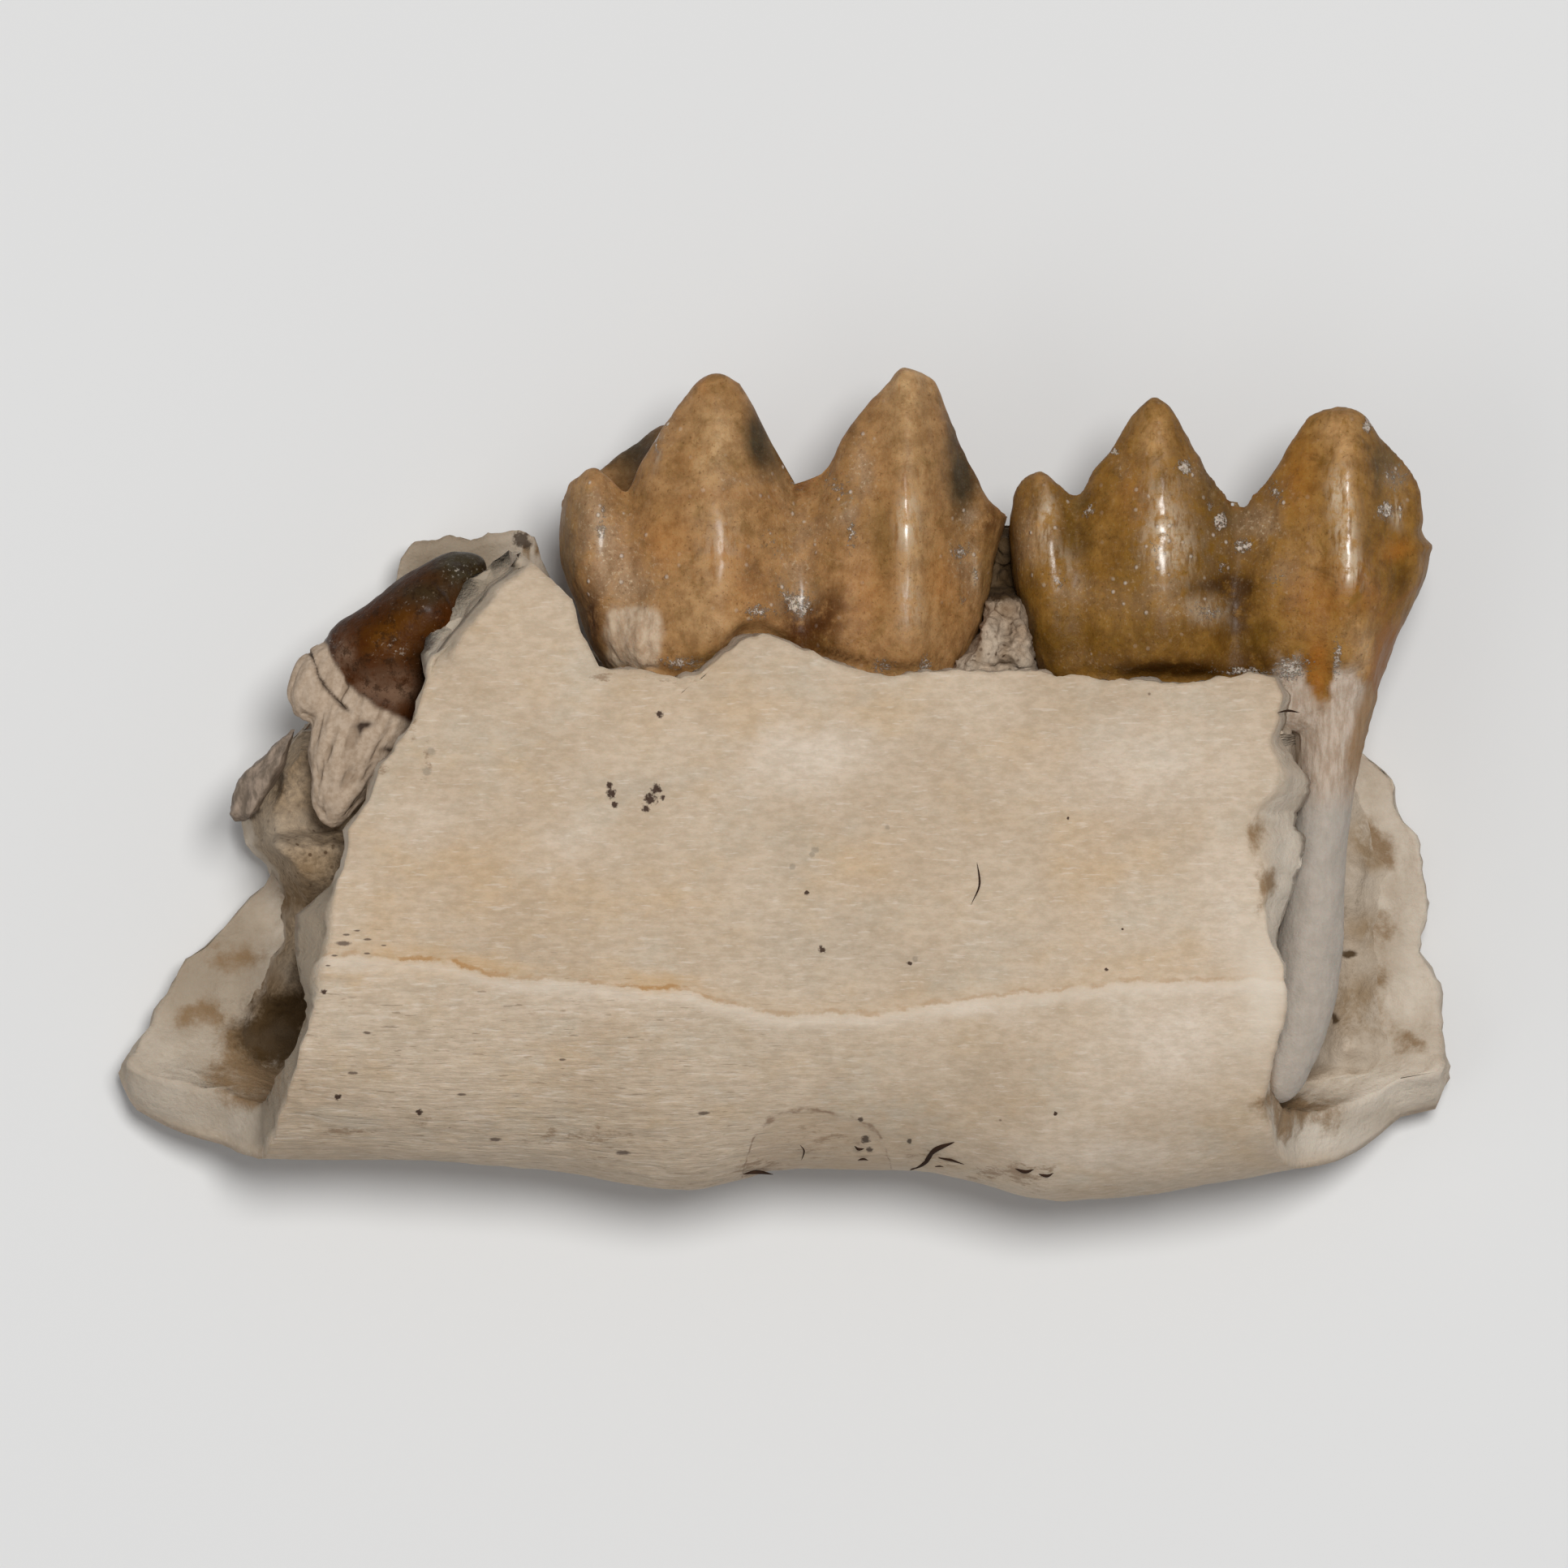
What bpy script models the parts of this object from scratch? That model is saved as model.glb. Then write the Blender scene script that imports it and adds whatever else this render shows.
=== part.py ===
"""Fossil jaw fragment of a small hornless ruminant, lying on its cheek side.

The bone is one thick sheet bent into a U: the tongue-side wall faces up, the lower
border turns round, and the longer cheek-side wall lies on the ground. Two molars and
one broken premolar stand between the walls, with hardened sediment round their roots.
X runs along the tooth row, Y from the lower border towards the cusps, Z up.
"""

import bpy
import numpy as np

# Working unit: everything below is in millimetres and becomes metres in one place.
MM = 0.001
CENTRE = (-0.010, -0.071)

# Bone walls: heights above the ground and thickness of the sheet.
WALL_HIGH = 5.50
WALL_HIGH_AT_Y = -2.2
WALL_FALL = 0.028
BORDER_Z = 2.75
ROUNDING_Y = -3.1
UPPER_THICK = 1.00
LIP_THICK = 0.70
LOWER_THICK = 0.95
BORDER_THICK = 0.85
FLAT_X = 7.0
FLAT_Y = 0.6
END_LIFT = 0.022
TOP_LIFT = 0.05
SAG_AT_ENDS = 0.006
STRAIGHT_SHARE = 0.62
LIP_FROM_Y = -0.5
LIP_TO_Y = 1.8

# Clearance between touching pieces, and how it opens above the edge of a wall.
CONTACT_GAP = 0.10
FREE_ABOVE = 1.5
FREE_FROM = 0.05
FREE_TO = 0.60

# Grid of the bone: rows of the upper and of the lower wall, and columns.
UPPER_ROWS = 22
LOWER_ROWS = 19
BONE_COLUMNS = 26

# Outlines of the upper wall, traced as x, y pairs from top to bottom or left to right.
GUM_LINE = [(-3.92, 3.48), (-3.46, 3.08), (-3.09, 2.78), (-2.99, 2.30), (-2.72, 1.76),
            (-2.00, 1.69), (-1.50, 1.55), (-1.00, 1.79), (-0.60, 2.12), (-0.28, 2.21),
            (0.30, 2.00), (1.00, 1.72), (1.70, 1.57), (2.30, 1.66), (3.70, 1.69),
            (5.00, 1.53), (5.90, 1.48), (7.00, 1.61), (7.33, 1.55)]
UPPER_LEFT = [(-3.92, 3.48), (-4.47, 3.02), (-5.07, 2.29), (-5.30, 1.95), (-5.26, 1.55),
              (-5.49, 0.94), (-5.79, 0.48), (-6.05, 0.25), (-6.15, -0.23), (-6.47, -0.71),
              (-6.50, -1.00), (-6.70, -1.74), (-6.83, -2.90), (-7.06, -3.57),
              (-7.28, -4.27), (-7.69, -5.38), (-7.76, -5.61)]
UPPER_RIGHT = [(7.33, 1.55), (7.39, 1.30), (7.21, 0.59), (7.34, 0.17), (7.26, -0.11),
               (6.95, -0.41), (6.95, -0.70), (7.15, -1.28), (7.12, -1.74), (7.22, -2.22),
               (7.44, -2.70), (7.46, -3.30), (7.30, -3.92), (7.12, -4.48), (7.07, -4.80),
               (7.26, -5.24), (7.70, -5.77)]
LOWER_BORDER = [(-7.76, -5.61), (-5.65, -5.67), (-3.46, -5.79), (-1.50, -6.06),
                (-0.60, -5.91), (0.00, -5.80), (1.90, -5.76), (2.85, -5.93),
                (4.07, -6.24), (5.50, -6.14), (7.70, -5.77)]

# Outlines of the lower wall, which reaches past the upper one at both ends.
FAR_LINE = [(-5.64, 3.54), (-5.31, 3.64), (-4.99, 3.73), (-4.70, 3.64), (-4.45, 3.76),
            (-3.99, 3.82), (-3.78, 3.71), (-3.60, 3.20), (-3.20, 2.20), (-2.80, 1.80),
            (-1.00, 1.55), (2.00, 1.50), (7.40, 1.45), (7.87, 1.42)]
LOWER_LEFT = [(-5.64, 3.54), (-5.78, 3.30), (-5.92, 2.82), (-6.30, 2.20), (-6.80, 1.42),
              (-7.10, 1.00), (-7.50, 0.50), (-7.90, 0.05), (-7.95, -0.30), (-7.70, -0.60),
              (-7.60, -1.00), (-7.71, -1.45), (-7.97, -1.72), (-8.63, -2.38),
              (-9.03, -2.68), (-9.37, -3.29), (-9.64, -3.84), (-10.02, -4.38),
              (-9.76, -4.93), (-9.10, -5.19), (-8.35, -5.42), (-7.76, -5.61)]
LOWER_TIP = (-10.02, -4.38)
LOWER_RIGHT = [(7.87, 1.42), (8.40, 0.90), (8.78, 0.41), (9.11, 0.15), (9.31, -0.45),
               (9.53, -1.00), (9.64, -1.70), (9.55, -2.50), (9.81, -3.14), (9.86, -4.05),
               (10.01, -4.44), (9.80, -4.88), (9.24, -5.02), (8.94, -5.31),
               (8.48, -5.58), (7.70, -5.77)]

# How far the inner layer of the upper wall stands out past its broken outer edge.
INNER_STEP_LEFT = [(-5.6, 0.05), (-4.2, 0.05), (-3.4, 0.12), (-3.0, 0.36), (-2.6, 0.50),
                   (-2.0, 0.60), (-1.5, 0.10), (1.9, 0.05), (2.3, 0.26), (3.1, 0.26),
                   (3.6, 0.12)]
INNER_STEP_RIGHT = [(-5.7, 0.03), (-2.6, 0.03), (-2.2, 0.20), (-1.8, 0.36), (-1.2, 0.62),
                    (-0.8, 0.78), (-0.3, 0.66), (0.3, 0.36), (0.8, 0.15), (1.6, 0.05)]


def spline(at, points):
    """Smooth curve through points (place, value)."""
    table = np.array(points, float)
    return spline_rows(at, table[:, 0], table[:, 1])


def spline_rows(at, places, values):
    """Smooth curve through rows of values, one row to a place, that never overshoots.

    A cubic between neighbours, whose slope at a place is the harmonic mean of the two
    straight slopes there, and zero where they change sign.
    """
    shape = (-1,) + (1,) * (values.ndim - 1)
    step = np.diff(places)
    slope = np.diff(values, axis=0) / step.reshape(shape)
    before = slope[:-1]
    after = slope[1:]
    same = before * after > 0
    total = np.where(same, before + after, 1.0)
    tangent = np.empty_like(values)
    tangent[0] = slope[0]
    tangent[-1] = slope[-1]
    tangent[1:-1] = np.where(same, 2 * before * after / total, 0.0)
    at = np.clip(at, places[0], places[-1])
    cell = np.clip(np.searchsorted(places, at, side="right") - 1, 0, len(places) - 2)
    grow = (1,) * (values.ndim - 1)
    wide = step[cell].reshape(at.shape + grow)
    part = ((at - places[cell]) / step[cell]).reshape(at.shape + grow)
    rest = 1 - part
    return ((1 + 2 * part) * rest ** 2 * values[cell]
            + part * rest ** 2 * wide * tangent[cell]
            + part ** 2 * (3 - 2 * part) * values[cell + 1]
            - part ** 2 * rest * wide * tangent[cell + 1])


def polyline(at, points):
    """Straight-edged curve through points (place, value), for broken edges."""
    ordered = sorted(points)
    return np.interp(at, [p[0] for p in ordered], [p[1] for p in ordered])


def ramp(value, low, high):
    """Smooth step from 0 at low to 1 at high."""
    part = np.clip((value - low) / (high - low), 0, 1)
    return part * part * (3 - 2 * part)


def bump(x, y, centre, size):
    """Round hump of height 1 at centre, fading over size in x and y."""
    return np.exp(-((x - centre[0]) / size[0]) ** 2 - ((y - centre[1]) / size[1]) ** 2)


# Colours of the pieces.
BONE_COLOUR = (0.66, 0.57, 0.43)
AMBER_COLOUR = (0.42, 0.24, 0.10)
ROOT_COLOUR = (0.55, 0.50, 0.42)
DARK_COLOUR = (0.16, 0.07, 0.02)
GREY_COLOUR = (0.45, 0.42, 0.36)
TAN_COLOUR = (0.22, 0.16, 0.09)
PALE_COLOUR = (0.32, 0.24, 0.15)
CRUMBLY_COLOUR = (0.36, 0.28, 0.18)


def add_mesh(name, points, faces, colour, roughness):
    """One object with its own material, from points in millimetres."""
    mesh = bpy.data.meshes.new(name)
    shifted = points - np.array([CENTRE[0], CENTRE[1], 0.0])
    mesh.from_pydata((shifted * MM).tolist(), [], faces)
    mesh.validate()
    material = bpy.data.materials.new(name)
    material.use_nodes = True
    shader = material.node_tree.nodes["Principled BSDF"]
    shader.inputs["Base Color"].default_value = (*colour, 1)
    shader.inputs["Roughness"].default_value = roughness
    mesh.materials.append(material)
    mesh.shade_smooth()
    piece = bpy.data.objects.new(name, mesh)
    bpy.context.scene.collection.objects.link(piece)
    return piece


def sheet_faces(rows, columns):
    """Faces of a closed thick sheet: an outer grid, an inner grid and four edge strips."""
    def strip(first, second):
        first = list(first)
        second = list(second)
        return [(first[i], first[i + 1], second[i + 1], second[i])
                for i in range(len(first) - 1)]

    size = rows * columns
    index = np.arange(size).reshape(rows, columns)
    corners = (index[:-1, :-1], index[1:, :-1], index[1:, 1:], index[:-1, 1:])
    outer = np.stack([part.ravel() for part in corners], axis=1)
    inner = outer[:, ::-1] + size
    faces = [tuple(face) for face in outer.tolist() + inner.tolist()]
    below = index + size
    faces += strip(index[0], below[0])
    faces += strip(below[-1], index[-1])
    faces += strip(below[:, 0], index[:, 0])
    faces += strip(index[:, -1], below[:, -1])
    return faces


def ring_faces(rings, sides, ends):
    """Faces of rings joined one to the next, with end points as the last two indices."""
    index = np.arange(rings * sides).reshape(rings, sides)
    turned = np.roll(index, -1, axis=1)
    body = np.stack([index[:-1].ravel(), turned[:-1].ravel(),
                     turned[1:].ravel(), index[1:].ravel()], axis=1)
    faces = [tuple(face) for face in body.tolist()]
    first, last = ends
    faces += [(first, turned[0, k], index[0, k]) for k in range(sides)]
    faces += [(last, index[-1, k], turned[-1, k]) for k in range(sides)]
    return [tuple(int(corner) for corner in face) for face in faces]


def border_y(x):
    """Lower border of the jaw under each x."""
    return spline(x, LOWER_BORDER)


def upper_face(x, y):
    """Height of the upper wall's outer face above its rounding, a shallow arch in y."""
    return WALL_HIGH - WALL_FALL * (y - WALL_HIGH_AT_Y) ** 2 - SAG_AT_ENDS * np.abs(x) ** 1.5


def lower_face(x, y):
    """Height of the lower wall's outer face: flat on the ground, lifting at its ends."""
    side = np.clip(np.abs(x) - FLAT_X, 0, None)
    top = np.clip(y - FLAT_Y, 0, None)
    return END_LIFT * side ** 2 + TOP_LIFT * top ** 2


def upper_thickness(y):
    """The upper wall thins towards the gum line."""
    return UPPER_THICK + (LIP_THICK - UPPER_THICK) * ramp(y, LIP_FROM_Y, LIP_TO_Y)


def section(down, x, top, upper, inner):
    """Point of the bone's section at x, from the gum line (down 0) to the border (down 1).

    A straight run from the top edge to the rounding, then a quarter of an ellipse down
    to the lower border. The inner face has the same run, moved in by the wall.
    """
    straight = np.clip(down / STRAIGHT_SHARE, 0, 1)
    angle = np.clip((down - STRAIGHT_SHARE) / (1 - STRAIGHT_SHARE), 0, 1) * np.pi / 2
    reach = ROUNDING_Y - border_y(x) - (BORDER_THICK if inner else 0)
    y = top + (ROUNDING_Y - top) * straight - reach * np.sin(angle)
    flat_y = np.maximum(y, ROUNDING_Y)
    if upper:
        level = upper_face(x, flat_y) - (upper_thickness(flat_y) if inner else 0)
    else:
        level = lower_face(x, flat_y) + (LOWER_THICK if inner else 0)
    z = BORDER_Z + (level - BORDER_Z) * np.cos(angle)
    return y, z


def down_of(point, top):
    """Which row of the section a traced point lies on."""
    x, y = point
    if y >= ROUNDING_Y:
        return STRAIGHT_SHARE * (top - y) / (top - ROUNDING_Y)
    reach = ROUNDING_Y - border_y(np.array([x]))[0]
    angle = np.arcsin(min((ROUNDING_Y - y) / reach, 1.0))
    return STRAIGHT_SHARE + (1 - STRAIGHT_SHARE) * angle / (np.pi / 2)


def edge_x(down, edge, line):
    """Where a traced broken edge crosses each row of the section."""
    tops = polyline(np.array([point[0] for point in edge]), line)
    rows = [(down_of(point, top), point[0]) for point, top in zip(edge, tops)]
    return polyline(down, rows)


def step_past(down, edge, steps, line):
    """Width of the inner layer's step at each row, read at the height of the edge."""
    tops = polyline(np.array([point[0] for point in edge]), line)
    rows = [(down_of(point, top), point[1]) for point, top in zip(edge, tops)]
    return polyline(polyline(down, rows), steps)


def inside_edge(down, edge, near_x):
    """Where the traced outline lies at the height of the lower wall's inner face."""
    top = polyline(near_x, FAR_LINE)
    y, _ = section(down, near_x, top, False, True)
    return polyline(y, [(point[1], point[0]) for point in edge])


def wall_grid(down, across, upper, inner):
    """Grid of points on one face of one wall, rows by columns."""
    line = GUM_LINE if upper else FAR_LINE
    left = edge_x(down, UPPER_LEFT if upper else LOWER_LEFT, line)
    right = edge_x(down, UPPER_RIGHT if upper else LOWER_RIGHT, line)
    if inner and upper:
        left = left - step_past(down, UPPER_LEFT, INNER_STEP_LEFT, line)
        right = right + step_past(down, UPPER_RIGHT, INNER_STEP_RIGHT, line)
    if inner and not upper:
        left = np.maximum(left, inside_edge(down, LOWER_LEFT, left))
        right = np.minimum(right, inside_edge(down, LOWER_RIGHT, right))
    x = left[:, None] + across[None, :] * (right - left)[:, None]
    first_x = line[0][0] + across * (line[-1][0] - line[0][0])
    top = polyline(first_x, line)[None, :] + 0 * x
    y, z = section(down[:, None] + 0 * x, x, top, upper, inner)
    return np.stack([x, y, z], axis=2)


def between_walls(x, y, z):
    """Keep a height clear of both walls below their top edges, freely above them."""
    over_gum = ramp(y - polyline(x, GUM_LINE), FREE_FROM, FREE_TO)
    over_far = ramp(y - polyline(x, FAR_LINE), FREE_FROM, FREE_TO)
    ceiling = upper_face(x, y) - upper_thickness(y) - CONTACT_GAP + FREE_ABOVE * over_gum
    floor = lower_face(x, y) + LOWER_THICK + CONTACT_GAP - FREE_ABOVE * over_far
    return np.maximum(np.minimum(z, ceiling), floor)


def make_bone():
    """The U-shaped sheet: upper wall, lower border and lower wall as one grid."""
    upper_down = np.linspace(0, 1, UPPER_ROWS)
    lower_down = np.linspace(1, 0, LOWER_ROWS + 1)[1:]
    tip = down_of(LOWER_TIP, 0.0)
    lower_down[np.argmin(np.abs(lower_down - tip))] = tip
    across = np.linspace(0, 1, BONE_COLUMNS)
    faces_of = []
    for inner in (False, True):
        upper = wall_grid(upper_down, across, True, inner)
        lower = wall_grid(lower_down, across, False, inner)
        faces_of.append(np.concatenate([upper, lower]))
    rows, columns = faces_of[0].shape[:2]
    points = np.concatenate([grid.reshape(-1, 3) for grid in faces_of])
    return add_mesh("jaw_bone", points, sheet_faces(rows, columns), BONE_COLOUR, 0.7)


# Molar crowns: the silhouette of the tall tongue-side crest, x and y from left to right.
MIDDLE_CREST = [(-3.35, 3.89), (-3.32, 4.25), (-3.11, 4.59), (-2.85, 4.73), (-2.58, 4.54),
                (-2.36, 4.37), (-2.08, 4.90), (-1.57, 5.68), (-1.03, 6.13), (-0.69, 6.01),
                (-0.45, 5.58), (-0.12, 4.96), (0.18, 4.48), (0.50, 4.61), (0.98, 5.33),
                (1.45, 5.89), (1.80, 6.22), (2.24, 6.01), (2.46, 5.50), (2.79, 4.73),
                (3.11, 4.19), (3.33, 4.00)]
MIDDLE_FAR_CREST = [(-3.35, 3.89), (-3.10, 4.25), (-2.85, 4.60), (-2.55, 4.86),
                    (-2.20, 5.12), (-1.85, 5.36), (-1.60, 5.40), (-0.80, 4.90),
                    (0.10, 3.95), (0.90, 4.80), (1.30, 5.20), (2.00, 4.80), (2.80, 4.20),
                    (3.33, 3.95)]
MIDDLE_LEFT = [(1.0, -2.35), (1.71, -2.66), (2.13, -2.91), (2.62, -3.06), (3.04, -3.23),
               (3.46, -3.33), (3.90, -3.35)]
MIDDLE_RIGHT = [(1.0, 2.35), (1.59, 2.60), (1.95, 2.79), (2.25, 2.91), (2.68, 3.03),
                (3.10, 3.11), (3.46, 3.18), (3.80, 3.27), (4.00, 3.33)]
REAR_CREST = [(3.37, 3.85), (3.48, 4.46), (3.81, 4.70), (4.07, 4.54), (4.37, 4.34),
              (4.59, 4.71), (4.92, 5.07), (5.23, 5.55), (5.52, 5.80), (5.80, 5.62),
              (6.03, 5.19), (6.33, 4.65), (6.72, 4.25), (7.10, 4.46), (7.46, 4.95),
              (7.90, 5.53), (8.30, 5.64), (8.66, 5.53), (8.92, 5.17), (9.28, 4.80),
              (9.49, 4.42), (9.59, 3.68), (9.65, 3.40)]
REAR_FAR_CREST = [(3.37, 3.85), (4.00, 4.15), (4.40, 4.24), (4.90, 4.90), (5.30, 4.85),
                  (6.20, 4.00), (6.70, 3.80), (7.60, 4.80), (8.10, 5.10), (8.80, 4.70),
                  (9.50, 3.90), (9.65, 3.40)]
REAR_LEFT = [(1.0, 4.00), (1.47, 3.90), (1.86, 3.75), (2.19, 3.63), (2.68, 3.52),
             (3.10, 3.45), (3.46, 3.41), (3.85, 3.37)]
REAR_RIGHT = [(1.0, 8.66), (1.47, 8.90), (1.86, 9.05), (2.28, 9.23), (2.68, 9.41),
              (3.15, 9.59), (3.40, 9.65)]

# Upright ribs and grooves of the tongue-side faces: x, width and height of each.
MIDDLE_RIBS = [(-2.95, 0.28, 0.18), (-1.00, 0.50, 0.24), (0.28, 0.38, -0.34),
               (1.85, 0.36, 0.32), (2.75, 0.28, -0.15), (-2.30, 0.25, -0.16)]
REAR_RIBS = [(3.85, 0.28, 0.18), (4.42, 0.25, -0.16), (5.60, 0.45, 0.24),
             (6.75, 0.40, -0.36), (8.45, 0.36, 0.34), (9.20, 0.25, -0.14)]
CROWN_Z = 2.75
CROWN_FOOT = 0.85
CROWN_BASE = 0.73
VALLEY_DEPTH = 1.0
CROWN_RINGS = 24
CROWN_COLUMNS = 33
END_ROUNDNESS = 2 / 3.4
END_THICKNESS = 0.06
LUMP_AT = (-2.24, 2.19)
LUMP_SIZE = (0.30, 0.34)
LUMP_HIGH = 0.22

# Crown section from the tongue-side foot over both crests to the other foot: place along
# it, the two levels it lies between, its share of the way from the first to the second,
# its depth towards the tongue, and how much the waist between two lobes draws it in.
CROWN_SECTION = [(0.00, "base", "base", 0.00, 0.55, 0.00),
                 (0.04, "foot", "near", 0.00, 1.25, 0.00),
                 (0.16, "foot", "near", 0.30, 1.80, 0.00),
                 (0.26, "foot", "near", 0.62, 1.72, 0.00),
                 (0.36, "foot", "near", 0.90, 1.45, 0.00),
                 (0.41, "foot", "near", 1.00, 1.18, 0.00),
                 (0.46, "valley", "near", 0.70, 0.80, 0.00),
                 (0.50, "valley", "near", 0.00, 0.05, 0.00),
                 (0.54, "valley", "far", 0.70, -0.72, 0.00),
                 (0.59, "foot", "far", 1.00, -1.12, 0.00),
                 (0.64, "foot", "far", 0.90, -1.45, 0.00),
                 (0.74, "foot", "far", 0.62, -1.85, 0.55),
                 (0.84, "foot", "far", 0.30, -1.80, 0.45),
                 (0.96, "foot", "far", 0.00, -1.25, 0.00),
                 (1.00, "base", "base", 0.00, -0.55, 0.00)]
# Between which places along the section the ribs rise and fade.
RIBS_RISE = (0.06, 0.16)
RIBS_FADE = (0.38, 0.44)


def crown_grid(crest, far_crest, left, right, ribs, rings, columns, lump=0.0):
    """Grid of one molar crown, a closed M-shaped section carried along the tooth row.

    Each section runs from the foot up the tongue side to the tall crest, down into the
    valley, over the cheek-side crest and down to the foot. Towards both ends it is
    squeezed to the middle by a rounded rectangle, so the ends are round.
    """
    turn = np.linspace(np.pi, 0, columns)
    along = 0.5 + 0.5 * np.sign(np.cos(turn)) * np.abs(np.cos(turn)) ** END_ROUNDNESS
    squeeze = END_THICKNESS + (1 - END_THICKNESS) * np.abs(np.sin(turn)) ** END_ROUNDNESS
    first = crest[0][0]
    last = crest[-1][0]
    crest_x = first + (last - first) * along
    near = spline(crest_x, crest)
    far = spline(crest_x, far_crest)
    waist = 0.5 + 0.5 * np.cos(2 * np.pi * np.clip((along - 0.5) * 2, -0.5, 0.5))
    levels = {"base": np.full_like(near, CROWN_BASE), "foot": np.full_like(near, CROWN_FOOT),
              "near": near, "far": far,
              "valley": np.minimum(near, far) - VALLEY_DEPTH * squeeze ** 2}
    places = np.array([row[0] for row in CROWN_SECTION])
    ys = np.array([levels[low] + (levels[high] - levels[low]) * share
                   for _, low, high, share, _, _ in CROWN_SECTION])
    zs = np.array([depth + drawn_in * waist for *_, depth, drawn_in in CROWN_SECTION])
    around = np.linspace(0, 1, rings)
    y = spline_rows(around, places, ys)
    z = spline_rows(around, places, zs)
    edge_left = spline(y, left)
    edge_right = spline(y, right)
    x = edge_left + (edge_right - edge_left) * along[None, :]
    face = ramp(around, *RIBS_RISE) * (1 - ramp(around, *RIBS_FADE))
    relief = sum(high * np.exp(-((x - at) / wide) ** 2) for at, wide, high in ribs)
    relief = relief + lump * bump(x, y, LUMP_AT, LUMP_SIZE)
    z = CROWN_Z + (z + relief * face[:, None]) * squeeze[None, :]
    return np.stack([x, y, between_walls(x, y, z)], axis=2)


def crown_faces(rings, columns):
    """Faces of a crown grid: its wall, its foot, and both ends zipped side to side."""
    index = np.arange(rings * columns).reshape(rings, columns)
    faces = []
    for ring in range(rings):
        after = (ring + 1) % rings
        for column in range(columns - 1):
            faces.append((index[ring, column], index[ring, column + 1],
                          index[after, column + 1], index[after, column]))
    half = rings // 2
    for step in range(half - 1):
        mirror = rings - 1 - step
        faces.append((index[step, 0], index[step + 1, 0],
                      index[mirror - 1, 0], index[mirror, 0]))
        faces.append((index[step + 1, -1], index[step, -1],
                      index[mirror, -1], index[mirror - 1, -1]))
    return [tuple(int(corner) for corner in face) for face in faces]


def make_crown(name, crest, far_crest, left, right, ribs, lump=0.0):
    """A molar crown as one closed body."""
    grid = crown_grid(crest, far_crest, left, right, ribs, CROWN_RINGS, CROWN_COLUMNS, lump)
    return add_mesh(name, grid.reshape(-1, 3), crown_faces(CROWN_RINGS, CROWN_COLUMNS),
                    AMBER_COLOUR, 0.3)


def tube(path, rings, sides):
    """Points of a round-ended tube; path rows are x, y, z, half width, half depth.

    The section is an ellipse across the path, its depth along Z. The rings bunch at the
    ends, where the size follows a half circle.
    """
    path = np.array(path, float)
    length = np.concatenate([[0], np.cumsum(np.hypot(*np.diff(path[:, :2], axis=0).T))])
    share = 0.5 - 0.5 * np.cos(np.linspace(0, np.pi, rings + 2)[1:-1])
    smooth = spline_rows(share * length[-1], length, path)
    centre = smooth[:, :3]
    forward = np.gradient(centre, axis=0)
    forward /= np.linalg.norm(forward, axis=1)[:, None]
    side = np.stack([-forward[:, 1], forward[:, 0], 0 * forward[:, 0]], axis=1)
    side /= np.linalg.norm(side, axis=1)[:, None]
    rise = np.cross(forward, side)
    end = np.minimum(share, 1 - share) * length[-1] / TUBE_ROUNDING
    close = np.sqrt(1 - (1 - np.clip(end, 0, 1)) ** 2)
    turn = np.arange(sides) * 2 * np.pi / sides
    wide = (smooth[:, 3] * close)[:, None, None] * np.cos(turn)[None, :, None]
    deep = (smooth[:, 4] * close)[:, None, None] * np.sin(turn)[None, :, None]
    ring = centre[:, None, :] + wide * side[:, None, :] + deep * rise[:, None, :]
    tips = np.stack([path[0, :3], path[-1, :3]])
    return np.concatenate([ring.reshape(-1, 3), tips])


def make_tube(name, path, rings, sides, colour=ROOT_COLOUR):
    """A tube as one closed body."""
    points = tube(path, rings, sides)
    faces = ring_faces(rings, sides, (rings * sides, rings * sides + 1))
    return add_mesh(name, points, faces, colour, 0.6)


def join_solids(base, others):
    """Union of solids into the first, which keeps its name; the others are removed."""
    bpy.context.view_layer.objects.active = base
    for other in others:
        cut = base.modifiers.new("join", "BOOLEAN")
        cut.operation = "UNION"
        cut.object = other
        bpy.ops.object.modifier_apply(modifier=cut.name)
        bpy.data.objects.remove(other)


# The rear molar's hind root, bare from the crown to its tip.
HIND_ROOT = [(8.35, 2.40, 3.30, 0.60, 0.52), (8.27, 1.29, 3.45, 0.58, 0.62),
             (8.14, 0.56, 3.50, 0.50, 0.62), (8.04, -0.23, 3.50, 0.44, 0.60),
             (7.98, -1.02, 3.50, 0.42, 0.58), (7.90, -1.75, 3.50, 0.46, 0.58),
             (7.84, -2.48, 3.50, 0.50, 0.56), (7.76, -3.27, 3.48, 0.46, 0.52),
             (7.60, -3.94, 3.40, 0.40, 0.46), (7.38, -4.49, 3.30, 0.30, 0.34),
             (7.24, -4.78, 3.22, 0.16, 0.18)]
PREMOLAR_CROWN = [(-6.35, 1.42, 3.20, 0.72, 0.60), (-6.10, 1.72, 3.25, 0.86, 0.78),
                  (-5.80, 2.02, 3.30, 0.78, 0.84), (-5.35, 2.50, 3.35, 0.68, 0.84),
                  (-4.92, 2.99, 3.38, 0.48, 0.62), (-4.52, 3.36, 3.40, 0.24, 0.34)]
PREMOLAR_FRONT_ROOT = [(-6.45, 1.95, 3.25, 0.34, 0.45), (-6.85, 1.65, 3.28, 0.42, 0.52),
                       (-7.06, 1.30, 3.28, 0.38, 0.48), (-7.18, 0.95, 3.25, 0.22, 0.30)]
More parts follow.
